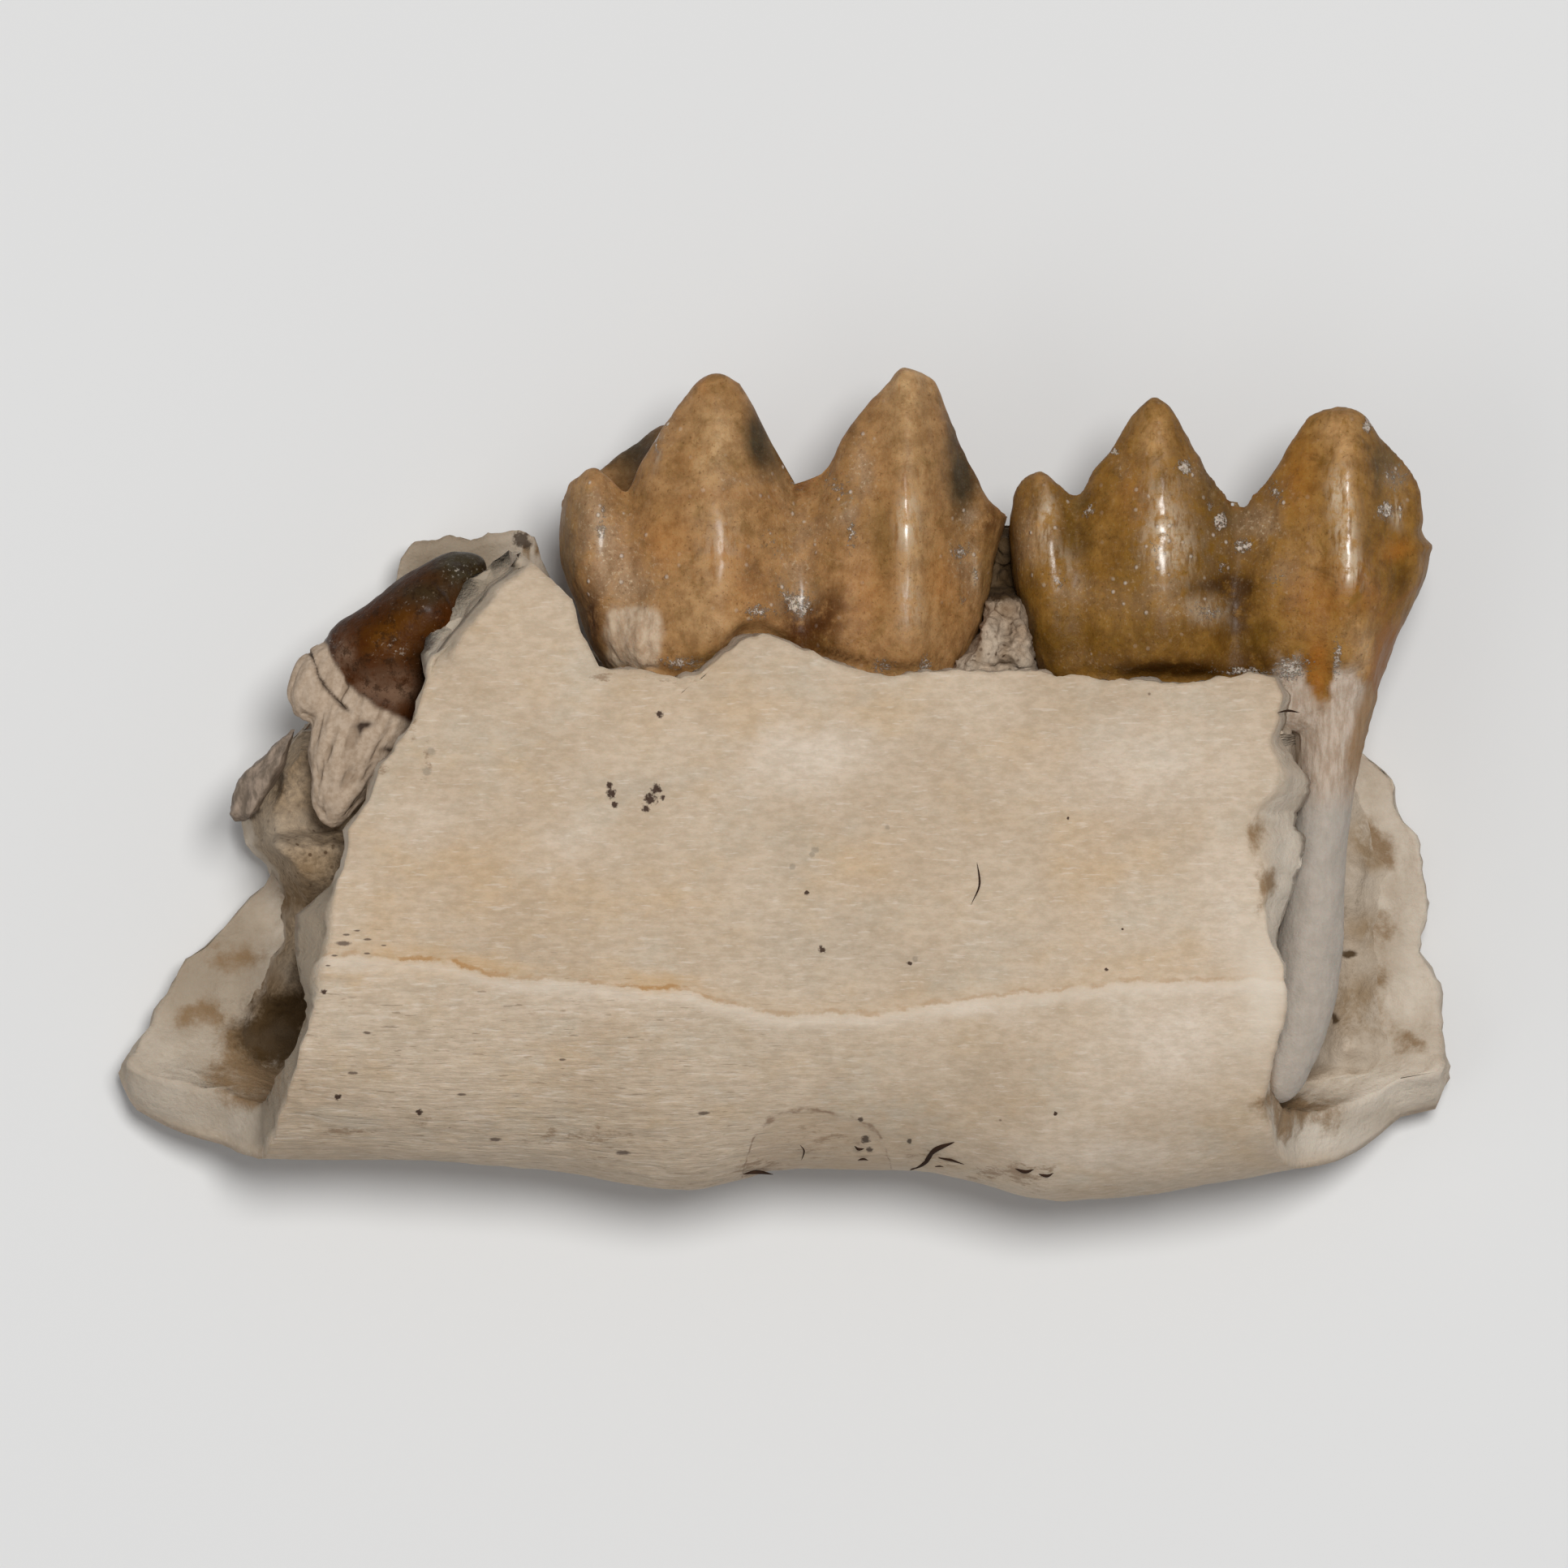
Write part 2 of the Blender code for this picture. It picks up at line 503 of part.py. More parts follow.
PREMOLAR_BACK_ROOT = [(-5.95, 1.60, 3.25, 0.70, 0.60), (-6.18, 1.10, 3.32, 0.74, 0.62),
                      (-6.42, 0.62, 3.34, 0.68, 0.56), (-6.63, 0.00, 3.32, 0.46, 0.44),
                      (-6.74, -0.40, 3.28, 0.32, 0.32), (-6.80, -0.68, 3.24, 0.18, 0.20)]
TUBE_ROUNDING = 0.35

# Hardened sediment: side limits x at each y, from top to bottom of each fill.
FRONT_FILL_LEFT = [(0.90, -7.25), (0.50, -7.60), (0.00, -7.95), (-0.45, -8.15),
                   (-0.60, -8.12), (-1.00, -7.95), (-1.35, -7.72), (-1.80, -7.60),
                   (-2.40, -7.75), (-3.10, -8.05), (-3.80, -8.45), (-4.30, -8.60),
                   (-4.60, -8.30)]
FRONT_FILL_RIGHT = [(0.90, -5.10), (0.30, -3.60), (-0.50, -2.80), (-4.60, -2.80)]
REAR_FILL_LEFT = [(0.55, 3.00), (-4.60, 2.60)]
REAR_FILL_RIGHT = [(0.55, 8.40), (0.20, 8.65), (-0.40, 8.95), (-1.20, 9.20), (-2.40, 9.15),
                   (-3.20, 9.35), (-3.90, 9.35), (-4.40, 8.95), (-4.60, 8.60)]
GAP_FILL_LEFT = [(2.55, 3.09), (2.20, 2.98), (1.80, 2.82), (1.30, 2.62), (1.05, 2.55)]
GAP_FILL_RIGHT = [(2.55, 3.46), (2.20, 3.55), (1.80, 3.68), (1.30, 3.84), (1.05, 3.90)]
SPLINTER_LEFT = [(0.82, -7.42), (0.60, -7.64), (0.38, -7.85), (0.07, -8.16), (-0.12, -8.22),
                 (-0.45, -8.28), (-0.55, -8.18)]
SPLINTER_RIGHT = [(0.82, -7.32), (0.32, -7.45), (0.01, -7.62), (-0.40, -7.88),
                  (-0.55, -8.06)]

# Fills: least thickness, height of the rim, and how steeply their rims rise across and along.
FILL_LEAST = 0.12
FILL_RIM = 0.10
RISE_ACROSS = 5
RISE_ALONG = 7

# Front fill: heights of its hollow and of the shelf above it, the drop under the premolar's
# root, the fall towards the far-left end and a pit.
HOLLOW_Z = 1.75
SHELF_RISE = 1.85
SHELF_Y = (-3.3, -1.4)
ROOT_DROP = 1.00
ROOT_DROP_Y = (-0.95, -0.65)
FRONT_FALL = 0.5
FRONT_FALL_X = (7.2, 8.4)
PIT_AT = (-7.6, -2.1)
PIT_SIZE = (0.25, 0.35)
PIT_DEPTH = 0.5
FRONT_HIDDEN_X = (-5.9, -4.9)

# Rear fill: heights of its thin right part and of the ridge under the bare root, and a knob.
THIN_Z = 1.45
RIDGE_RISE = 1.05
RIDGE_X = (-8.7, -7.9)
KNOB_AT = (9.0, -3.9)
KNOB_SIZE = (0.6, 0.3)
KNOB_HIGH = 0.35
REAR_HIDDEN_X = (-7.1, -6.3)

# Height of the clump between the molars, and floor and height of the splinter.
CLUMP_FLOOR = 2.6
CLUMP_Z = 4.15
SPLINTER_FLOOR = 2.80
SPLINTER_Z = 3.05
SPLINTER_RISE = 0.25
SPLINTER_Y = (-0.6, 0.8)


def wall_inside(x, y, upper):
    """Height of a wall's inner face at x, y, rounding included."""
    reach = ROUNDING_Y - border_y(x) - BORDER_THICK
    bend = np.sqrt(1 - np.clip((ROUNDING_Y - y) / reach, 0, 0.98) ** 2)
    flat_y = np.maximum(y, ROUNDING_Y)
    if upper:
        level = upper_face(x, flat_y) - upper_thickness(flat_y)
    else:
        level = lower_face(x, flat_y) + LOWER_THICK
    return BORDER_Z + (level - BORDER_Z) * bend


def fill_grid(left, right, height, base, rows, columns):
    """Grids of a fill's top and bottom: rows run down in y, columns from left to right.

    The bottom is base(x, y), the top is height(x, y), and towards the outline the
    thickness falls off as a quarter circle.
    """
    y = np.linspace(left[0][0], left[-1][0], rows)[:, None] * np.ones(columns)
    share = np.linspace(0, 1, columns)[None, :]
    start = polyline(y, left)
    x = start + (polyline(y, right) - start) * share
    low = base(x, y)
    down = np.linspace(0, 1, rows)[:, None]
    rim = np.minimum(np.minimum(share, 1 - share) * RISE_ACROSS,
                     np.minimum(down, 1 - down) * RISE_ALONG)
    round_off = np.sqrt(1 - (1 - np.clip(rim, 0, 1)) ** 2)
    thick = np.maximum(height(x, y) - low, FILL_LEAST)
    high = low + FILL_RIM + (thick - FILL_RIM) * round_off
    return np.stack([x, y, high], axis=2), np.stack([x, y, low], axis=2)


def floor_of(x, y):
    """Just above the lower wall's inner face."""
    return wall_inside(x, y, False) + CONTACT_GAP


def front_height(x, y):
    """Front fill: a lumpy shelf under the premolar's root, falling to a dark hollow."""
    shelf = HOLLOW_Z + SHELF_RISE * ramp(y, *SHELF_Y) - ROOT_DROP * ramp(y, *ROOT_DROP_Y)
    lumps = 0.16 * np.sin(5.1 * x + 1.3 * y) * np.cos(4.3 * y)
    pit = PIT_DEPTH * bump(x, y, PIT_AT, PIT_SIZE)
    fall = FRONT_FALL * ramp(-x, *FRONT_FALL_X)
    ceiling = wall_inside(x, y, True) - CONTACT_GAP
    open_part = np.minimum(shelf + lumps - pit - fall, ceiling)
    return open_part + (ceiling - open_part) * ramp(x, *FRONT_HIDDEN_X)


def rear_height(x, y):
    """Rear fill: highest under the bare root, thinning out to the right."""
    ridge = THIN_Z + RIDGE_RISE * ramp(-x, *RIDGE_X) + KNOB_HIGH * bump(x, y, KNOB_AT, KNOB_SIZE)
    open_part = ridge + 0.14 * np.sin(4.7 * x) * np.cos(3.9 * y)
    ceiling = wall_inside(x, y, True) - CONTACT_GAP
    return open_part + (ceiling - open_part) * ramp(-x, *REAR_HIDDEN_X)


def gap_height(x, y):
    """Clump between the molars."""
    return between_walls(x, y, CLUMP_Z + 0.12 * np.sin(9 * x) * np.cos(8 * y))


def clump_floor(x, y):
    """Flat underside of the clump."""
    return CLUMP_FLOOR + 0 * x


def splinter_height(x, y):
    """Bone splinter: a thin leaf that rises towards its top end."""
    return SPLINTER_Z + SPLINTER_RISE * ramp(y, *SPLINTER_Y)


def splinter_floor(x, y):
    """Flat underside of the splinter."""
    return SPLINTER_FLOOR + 0 * x


def make_fill(name, left, right, height, base, size, colour):
    """A fill or flake as one closed body."""
    rows, columns = size
    high, low = fill_grid(left, right, height, base, rows, columns)
    points = np.concatenate([high.reshape(-1, 3), low.reshape(-1, 3)])
    return add_mesh(name, points, sheet_faces(rows, columns), colour, 0.9)


def make_fills():
    """Sediment at the front end, between the molars and at the rear, and the splinter."""
    make_fill("front_sediment", FRONT_FILL_LEFT, FRONT_FILL_RIGHT, front_height, floor_of,
              (14, 10), TAN_COLOUR)
    make_fill("rear_sediment", REAR_FILL_LEFT, REAR_FILL_RIGHT, rear_height, floor_of,
              (12, 10), PALE_COLOUR)
    make_fill("gap_sediment", GAP_FILL_LEFT, GAP_FILL_RIGHT, gap_height, clump_floor,
              (7, 5), CRUMBLY_COLOUR)
    make_fill("bone_splinter", SPLINTER_LEFT, SPLINTER_RIGHT, splinter_height, splinter_floor,
              (8, 4), GREY_COLOUR)


def make_teeth():
    """Two molars, the rear one with its bare root, and the leaning broken premolar."""
    make_crown("middle_molar", MIDDLE_CREST, MIDDLE_FAR_CREST, MIDDLE_LEFT, MIDDLE_RIGHT,
               MIDDLE_RIBS, LUMP_HIGH)
    rear = make_crown("rear_molar", REAR_CREST, REAR_FAR_CREST, REAR_LEFT, REAR_RIGHT,
                      REAR_RIBS)
    join_solids(rear, [make_tube("hind_root", HIND_ROOT, 16, 12)])
    front = make_tube("premolar", PREMOLAR_CROWN, 12, 14, DARK_COLOUR)
    join_solids(front, [make_tube("root_a", PREMOLAR_FRONT_ROOT, 7, 10),
                        make_tube("root_b", PREMOLAR_BACK_ROOT, 9, 12)])


bpy.context.scene.unit_settings.system = "METRIC"
for old in list(bpy.data.objects):
    bpy.data.objects.remove(old)
make_bone()
make_teeth()
make_fills()
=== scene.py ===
"""Fossil jaw fragment: surfaces, materials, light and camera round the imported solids.

Shapes are worked out in millimetres and become metres when a mesh is made. X runs along
the tooth row, Y from the lower border towards the cusps, Z up towards the camera.
"""

import bmesh
import bpy
import numpy as np
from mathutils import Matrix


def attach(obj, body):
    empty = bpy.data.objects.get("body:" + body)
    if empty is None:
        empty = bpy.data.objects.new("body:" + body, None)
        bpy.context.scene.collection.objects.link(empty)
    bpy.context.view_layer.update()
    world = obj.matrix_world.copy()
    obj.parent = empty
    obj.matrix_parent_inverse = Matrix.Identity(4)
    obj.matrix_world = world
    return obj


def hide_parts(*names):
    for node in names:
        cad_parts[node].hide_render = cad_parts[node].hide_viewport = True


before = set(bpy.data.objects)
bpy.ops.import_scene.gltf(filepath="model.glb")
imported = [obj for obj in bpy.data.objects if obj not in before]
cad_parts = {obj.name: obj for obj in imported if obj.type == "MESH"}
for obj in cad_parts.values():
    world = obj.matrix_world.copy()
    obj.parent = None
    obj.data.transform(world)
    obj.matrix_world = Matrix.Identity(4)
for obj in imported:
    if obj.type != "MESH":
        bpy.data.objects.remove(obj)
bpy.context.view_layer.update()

MM = 0.001
CENTRE = np.array([-0.010, -0.071, 0.0])

# Camera: straight above the jaw, far away, with a long lens.
CAMERA_UP = 0.400
SENSOR = 36.0
SEEN_WIDTH = 0.02356
SEEN_AT_HEIGHT = 0.0012

# Bone walls: heights above the ground and thickness of the sheet, in millimetres.
WALL_HIGH = 5.50
WALL_HIGH_AT_Y = -2.2
WALL_FALL = 0.028
BORDER_Z = 2.75
ROUNDING_Y = -3.1
UPPER_THICK = 1.00
LIP_THICK = 0.70
LOWER_THICK = 0.95
BORDER_THICK = 0.85
FLAT_X = 7.0
FLAT_Y = 0.6
END_LIFT = 0.022
TOP_LIFT = 0.05
SAG_AT_ENDS = 0.006
STRAIGHT_SHARE = 0.62
LIP_FROM_Y = -0.5
LIP_TO_Y = 1.8
EDGE_RAG = 0.035
TOP_RAG = 0.032

# Room between pieces, and how freely a tooth spreads above the walls' top edges.
CONTACT_GAP = 0.10
FREE_ABOVE = 1.5
FREE_FROM = 0.05
FREE_TO = 0.60

# Fineness of the surfaces, in rows and columns of points.
UPPER_ROWS = 118
LOWER_ROWS = 60
BONE_COLUMNS = 262
RIM_STEPS = 7
MERGE = 0.0005

# Outlines of the upper wall, as x, y pairs from top to bottom or left to right.
GUM_LINE = [
    (-3.92, 3.48), (-3.46, 3.08), (-3.09, 2.78), (-2.99, 2.3), (-2.72, 1.76), (-2.0, 1.69),
    (-1.5, 1.55), (-1.0, 1.79), (-0.6, 2.12), (-0.28, 2.21), (0.3, 2.0), (1.0, 1.72), (1.7, 1.57),
    (2.3, 1.66), (3.7, 1.69), (5.0, 1.53), (5.9, 1.48), (7.0, 1.61), (7.33, 1.55)]
UPPER_LEFT = [
    (-3.92, 3.48), (-4.47, 3.02), (-5.07, 2.29), (-5.3, 1.95), (-5.26, 1.55), (-5.49, 0.94),
    (-5.79, 0.48), (-6.05, 0.25), (-6.15, -0.23), (-6.47, -0.71), (-6.5, -1.0), (-6.7, -1.74),
    (-6.83, -2.9), (-7.06, -3.57), (-7.28, -4.27), (-7.69, -5.38), (-7.76, -5.61)]
UPPER_RIGHT = [
    (7.33, 1.55), (7.39, 1.3), (7.21, 0.59), (7.34, 0.17), (7.26, -0.11), (6.95, -0.41), (6.95, -0.7),
    (7.15, -1.28), (7.12, -1.74), (7.22, -2.22), (7.44, -2.7), (7.46, -3.3), (7.3, -3.92),
    (7.12, -4.48), (7.07, -4.8), (7.26, -5.24), (7.7, -5.77)]
LOWER_BORDER = [
    (-7.76, -5.61), (-5.65, -5.67), (-3.46, -5.79), (-1.5, -6.06), (-0.6, -5.91), (0.0, -5.8),
    (1.9, -5.76), (2.85, -5.93), (4.07, -6.24), (5.5, -6.14), (7.7, -5.77)]
FAR_LINE = [
    (-5.64, 3.54), (-5.31, 3.64), (-4.99, 3.73), (-4.7, 3.64), (-4.45, 3.76), (-3.99, 3.82),
    (-3.78, 3.71), (-3.6, 3.2), (-3.2, 2.2), (-2.8, 1.8), (-1.0, 1.55), (2.0, 1.5), (7.4, 1.45),
    (7.87, 1.42)]
LOWER_LEFT = [
    (-5.64, 3.54), (-5.78, 3.3), (-5.92, 2.82), (-6.3, 2.2), (-6.8, 1.42), (-7.1, 1.0), (-7.5, 0.5),
    (-7.9, 0.05), (-7.95, -0.3), (-7.7, -0.6), (-7.6, -1.0), (-7.71, -1.45), (-7.97, -1.72),
    (-8.63, -2.38), (-9.03, -2.68), (-9.37, -3.29), (-9.64, -3.84), (-10.02, -4.38), (-9.76, -4.93),
    (-9.1, -5.19), (-8.35, -5.42), (-7.76, -5.61)]
LOWER_RIGHT = [
    (7.87, 1.42), (8.4, 0.9), (8.78, 0.41), (9.11, 0.15), (9.31, -0.45), (9.53, -1.0), (9.64, -1.7),
    (9.55, -2.5), (9.81, -3.14), (9.86, -4.05), (10.01, -4.44), (9.8, -4.88), (9.24, -5.02),
    (8.94, -5.31), (8.48, -5.58), (7.7, -5.77)]
INNER_STEP_LEFT = [
    (-5.6, 0.05), (-4.2, 0.05), (-3.4, 0.12), (-3.0, 0.36), (-2.6, 0.5), (-2.0, 0.6), (-1.5, 0.1),
    (1.9, 0.05), (2.3, 0.26), (3.1, 0.26), (3.6, 0.12)]
INNER_STEP_RIGHT = [
    (-5.7, 0.03), (-2.6, 0.03), (-2.2, 0.2), (-1.8, 0.36), (-1.2, 0.62), (-0.8, 0.78), (-0.3, 0.66),
    (0.3, 0.36), (0.8, 0.15), (1.6, 0.05)]
LEDGE_LINE = [
    (-7.8, -2.5), (-5.85, -2.58), (-4.77, -2.7), (-4.16, -2.82), (-2.59, -2.94), (-1.51, -3.04),
    (-0.78, -3.25), (-0.06, -3.4), (1.03, -3.4), (2.23, -3.25), (3.44, -3.13), (4.65, -2.97),
    (5.85, -2.88), (7.6, -2.88)]
CHIP_LINE = [
    (-0.8, -6.6), (-0.42, -5.24), (-0.12, -4.96), (0.14, -4.84), (0.63, -4.85), (1.1, -4.97),
    (1.4, -5.21), (1.62, -5.8), (1.95, -6.8)]

# Molar crowns: silhouettes of the tall tongue-side crest and of the cheek-side crest.
MIDDLE_CREST = [
    (-3.35, 3.89), (-3.32, 4.25), (-3.11, 4.59), (-2.85, 4.73), (-2.58, 4.54), (-2.36, 4.37),
    (-2.08, 4.9), (-1.57, 5.68), (-1.03, 6.13), (-0.69, 6.01), (-0.45, 5.58), (-0.12, 4.96),
    (0.18, 4.48), (0.5, 4.61), (0.98, 5.33), (1.45, 5.89), (1.8, 6.22), (2.24, 6.01), (2.46, 5.5),
    (2.79, 4.73), (3.11, 4.19), (3.33, 4.0)]
MIDDLE_FAR_CREST = [
    (-3.35, 3.89), (-3.1, 4.25), (-2.85, 4.6), (-2.55, 4.86), (-2.2, 5.12), (-1.85, 5.36), (-1.6, 5.4),
    (-0.8, 4.9), (0.1, 3.95), (0.9, 4.8), (1.3, 5.2), (2.0, 4.8), (2.8, 4.2), (3.33, 3.95)]
MIDDLE_LEFT = [
    (1.0, -2.35), (1.71, -2.66), (2.13, -2.91), (2.62, -3.06), (3.04, -3.23), (3.46, -3.33),
    (3.9, -3.35)]
MIDDLE_RIGHT = [
    (1.0, 2.35), (1.59, 2.6), (1.95, 2.79), (2.25, 2.91), (2.68, 3.03), (3.1, 3.11), (3.46, 3.18),
    (3.8, 3.27), (4.0, 3.33)]
REAR_CREST = [
    (3.37, 3.85), (3.48, 4.46), (3.81, 4.7), (4.07, 4.54), (4.37, 4.34), (4.59, 4.71), (4.92, 5.07),
    (5.23, 5.55), (5.52, 5.8), (5.8, 5.62), (6.03, 5.19), (6.33, 4.65), (6.72, 4.25), (7.1, 4.46),
    (7.46, 4.95), (7.9, 5.53), (8.3, 5.64), (8.66, 5.53), (8.92, 5.17), (9.28, 4.8), (9.49, 4.42),
    (9.59, 3.68), (9.65, 3.4)]
REAR_FAR_CREST = [
    (3.37, 3.85), (4.0, 4.15), (4.4, 4.24), (4.9, 4.9), (5.3, 4.85), (6.2, 4.0), (6.7, 3.8), (7.6, 4.8),
    (8.1, 5.1), (8.8, 4.7), (9.5, 3.9), (9.65, 3.4)]
REAR_LEFT = [
    (1.0, 4.0), (1.47, 3.9), (1.86, 3.75), (2.19, 3.63), (2.68, 3.52), (3.1, 3.45), (3.46, 3.41),
    (3.85, 3.37)]
REAR_RIGHT = [
    (1.0, 8.66), (1.47, 8.9), (1.86, 9.05), (2.28, 9.23), (2.68, 9.41), (3.15, 9.59), (3.4, 9.65)]
MIDDLE_RIBS = [
    (-2.95, 0.28, 0.18), (-1.0, 0.5, 0.24), (0.28, 0.38, -0.34), (1.85, 0.36, 0.32),
    (2.75, 0.28, -0.15), (-2.3, 0.25, -0.16)]
REAR_RIBS = [
    (3.85, 0.28, 0.18), (4.42, 0.25, -0.16), (5.6, 0.45, 0.24), (6.75, 0.4, -0.36), (8.45, 0.36, 0.34),
    (9.2, 0.25, -0.14)]
CROWN_Z = 2.75
CROWN_FOOT = 0.85
CROWN_BASE = 0.73
VALLEY_DEPTH = 1.0
END_ROUNDNESS = 2 / 3.4
END_THICKNESS = 0.06
RIBS_RISE = (0.06, 0.16)
RIBS_FADE = (0.38, 0.44)
LUMP_AT = (-2.24, 2.19)
LUMP_SIZE = (0.30, 0.34)
LUMP_HIGH = 0.22
NECK_Y = 1.7
NECK_REACH = 0.9
NECK_FROM_X = 7.25
STUBS_TO_Y = 2.2

# A molar's section, from the foot up the tongue side, over both crests and down to the foot:
# share of the way round, lower and upper level, share between them, depth, and how far it is
# drawn in at the waist.
CROWN_SECTION = [
    (0.00, "base", "base", 0.00, 0.55, 0.00), (0.04, "foot", "near", 0.00, 1.25, 0.00),
    (0.16, "foot", "near", 0.30, 1.80, 0.00), (0.26, "foot", "near", 0.62, 1.72, 0.00),
    (0.36, "foot", "near", 0.90, 1.45, 0.00), (0.41, "foot", "near", 1.00, 1.18, 0.00),
    (0.46, "valley", "near", 0.70, 0.80, 0.00), (0.50, "valley", "near", 0.00, 0.05, 0.00),
    (0.54, "valley", "far", 0.70, -0.72, 0.00), (0.59, "foot", "far", 1.00, -1.12, 0.00),
    (0.64, "foot", "far", 0.90, -1.45, 0.00), (0.74, "foot", "far", 0.62, -1.85, 0.55),
    (0.84, "foot", "far", 0.30, -1.80, 0.45), (0.96, "foot", "far", 0.00, -1.25, 0.00),
    (1.00, "base", "base", 0.00, -0.55, 0.00)]

# Tubes: centre x, y, z, half width and half depth along each.
HIND_ROOT = [
    (8.35, 2.4, 3.3, 0.6, 0.52), (8.27, 1.29, 3.45, 0.58, 0.62), (8.14, 0.56, 3.5, 0.5, 0.62),
    (8.04, -0.23, 3.5, 0.44, 0.6), (7.98, -1.02, 3.5, 0.42, 0.58), (7.9, -1.75, 3.5, 0.46, 0.58),
    (7.84, -2.48, 3.5, 0.5, 0.56), (7.76, -3.27, 3.48, 0.46, 0.52), (7.58, -3.94, 3.45, 0.42, 0.48),
    (7.34, -4.49, 3.42, 0.34, 0.4), (7.18, -4.78, 3.4, 0.2, 0.26)]
PREMOLAR_CROWN = [
    (-6.35, 1.42, 3.2, 0.72, 0.6), (-6.1, 1.72, 3.25, 0.86, 0.78), (-5.8, 2.02, 3.3, 0.78, 0.84),
    (-5.35, 2.5, 3.35, 0.68, 0.84), (-4.92, 2.99, 3.38, 0.48, 0.62), (-4.52, 3.36, 3.4, 0.24, 0.34)]
PREMOLAR_FRONT_ROOT = [
    (-6.45, 1.95, 3.25, 0.34, 0.45), (-6.85, 1.65, 3.28, 0.42, 0.52), (-7.06, 1.3, 3.28, 0.38, 0.48),
    (-7.18, 0.95, 3.25, 0.22, 0.3)]
PREMOLAR_BACK_ROOT = [
    (-5.95, 1.6, 3.25, 0.7, 0.6), (-6.18, 1.1, 3.32, 0.74, 0.62), (-6.42, 0.62, 3.34, 0.68, 0.56),
    (-6.63, 0.0, 3.32, 0.46, 0.44), (-6.74, -0.4, 3.28, 0.32, 0.32), (-6.8, -0.68, 3.24, 0.18, 0.2)]

# Hardened sediment and the splinter: side limits x at each y.
FRONT_FILL_LEFT = [
    (0.9, -7.25), (0.5, -7.6), (0.0, -7.95), (-0.45, -8.15), (-0.6, -8.12), (-1.0, -7.95),
    (-1.35, -7.72), (-1.8, -7.6), (-2.4, -7.75), (-3.1, -8.05), (-3.8, -8.45), (-4.3, -8.6),
    (-4.6, -8.3)]
FRONT_FILL_RIGHT = [(0.90, -5.10), (0.30, -3.60), (-0.50, -2.80), (-4.60, -2.80)]
REAR_FILL_LEFT = [(1.35, 7.00), (0.75, 6.90), (0.55, 3.00), (-4.60, 2.60)]
REAR_FILL_RIGHT = [
    (1.35, 7.75), (0.75, 8.2), (0.55, 8.4), (0.2, 8.65), (-0.4, 8.95), (-1.2, 9.2), (-2.4, 9.15),
    (-3.2, 9.35), (-3.9, 9.35), (-4.4, 8.95), (-4.6, 8.6)]
GAP_CLUMP_LEFT = [
    (3.9, 3.22), (3.4, 3.1), (3.0, 3.0), (2.6, 2.94), (2.1, 2.74), (1.85, 2.55), (1.55, 2.3),
    (1.15, 2.3)]
GAP_CLUMP_RIGHT = [
    (3.9, 3.44), (3.4, 3.48), (3.0, 3.54), (2.6, 3.62), (2.3, 3.7), (2.0, 3.78), (1.6, 3.92),
    (1.15, 3.96)]
SPLINTER_LEFT = [
    (0.82, -7.42), (0.6, -7.64), (0.38, -7.85), (0.07, -8.16), (-0.12, -8.22), (-0.45, -8.28),
    (-0.55, -8.18)]
SPLINTER_RIGHT = [
    (0.82, -7.32), (0.32, -7.45), (0.01, -7.62), (-0.4, -7.88), (-0.55, -8.06)]


# Curves and noise

def spline_rows(at, places, values):
    """Cubic through rows of values, one row to a place, that never overshoots.

    The slope at a place is the harmonic mean of the straight slopes on both sides, and
    zero where they change sign.
    """
    shape = (-1,) + (1,) * (values.ndim - 1)
    step = np.diff(places)
    slope = np.diff(values, axis=0) / step.reshape(shape)
    before = slope[:-1]
    after = slope[1:]
    same = before * after > 0
    total = np.where(same, before + after, 1.0)
    tangent = np.empty_like(values)
    tangent[0] = slope[0]
    tangent[-1] = slope[-1]
    tangent[1:-1] = np.where(same, 2 * before * after / total, 0.0)
    at = np.clip(at, places[0], places[-1])
    cell = np.clip(np.searchsorted(places, at, side="right") - 1, 0, len(places) - 2)
    grow = (1,) * (values.ndim - 1)
    wide = step[cell].reshape(at.shape + grow)
    part = ((at - places[cell]) / step[cell]).reshape(at.shape + grow)
    rest = 1 - part
    return ((1 + 2 * part) * rest ** 2 * values[cell]
            + part * rest ** 2 * wide * tangent[cell]
            + part ** 2 * (3 - 2 * part) * values[cell + 1]
            - part ** 2 * rest * wide * tangent[cell + 1])


def spline(at, points):
    """Smooth curve through points (place, value)."""
    table = np.array(points, float)
    return spline_rows(at, table[:, 0], table[:, 1])


def polyline(at, points):
    """Straight-edged curve through points (place, value), for broken edges."""
    ordered = sorted(points)
    return np.interp(at, [p[0] for p in ordered], [p[1] for p in ordered])


def ramp(value, low, high):
    """Smooth step from 0 at low to 1 at high."""
    part = np.clip((value - low) / (high - low), 0, 1)
    return part * part * (3 - 2 * part)


def bump(x, y, centre, size):
    """Round hump of height 1 at centre, fading over size in x and y."""
    return np.exp(-((x - centre[0]) / size[0]) ** 2 - ((y - centre[1]) / size[1]) ** 2)


def ridge(away, wide):
    """Ridge of height 1 along a line, from the distance away from it."""
    return np.exp(-(away / wide) ** 2)


def lattice(ix, iy, iz, seed):
    """Repeatable value from 0 to 1 at whole-number points: an integer hash."""
    mixed = (ix.astype(np.int64) * 374761393 + iy.astype(np.int64) * 668265263
             + iz.astype(np.int64) * 1274126177 + seed * 974634777) & 0xFFFFFFFF
    mixed = ((mixed ^ (mixed >> 13)) * 1103515245) & 0xFFFFFFFF
    mixed = ((mixed ^ (mixed >> 16)) * 2246822519) & 0xFFFFFFFF
    return (mixed ^ (mixed >> 15)) / 4294967295.0


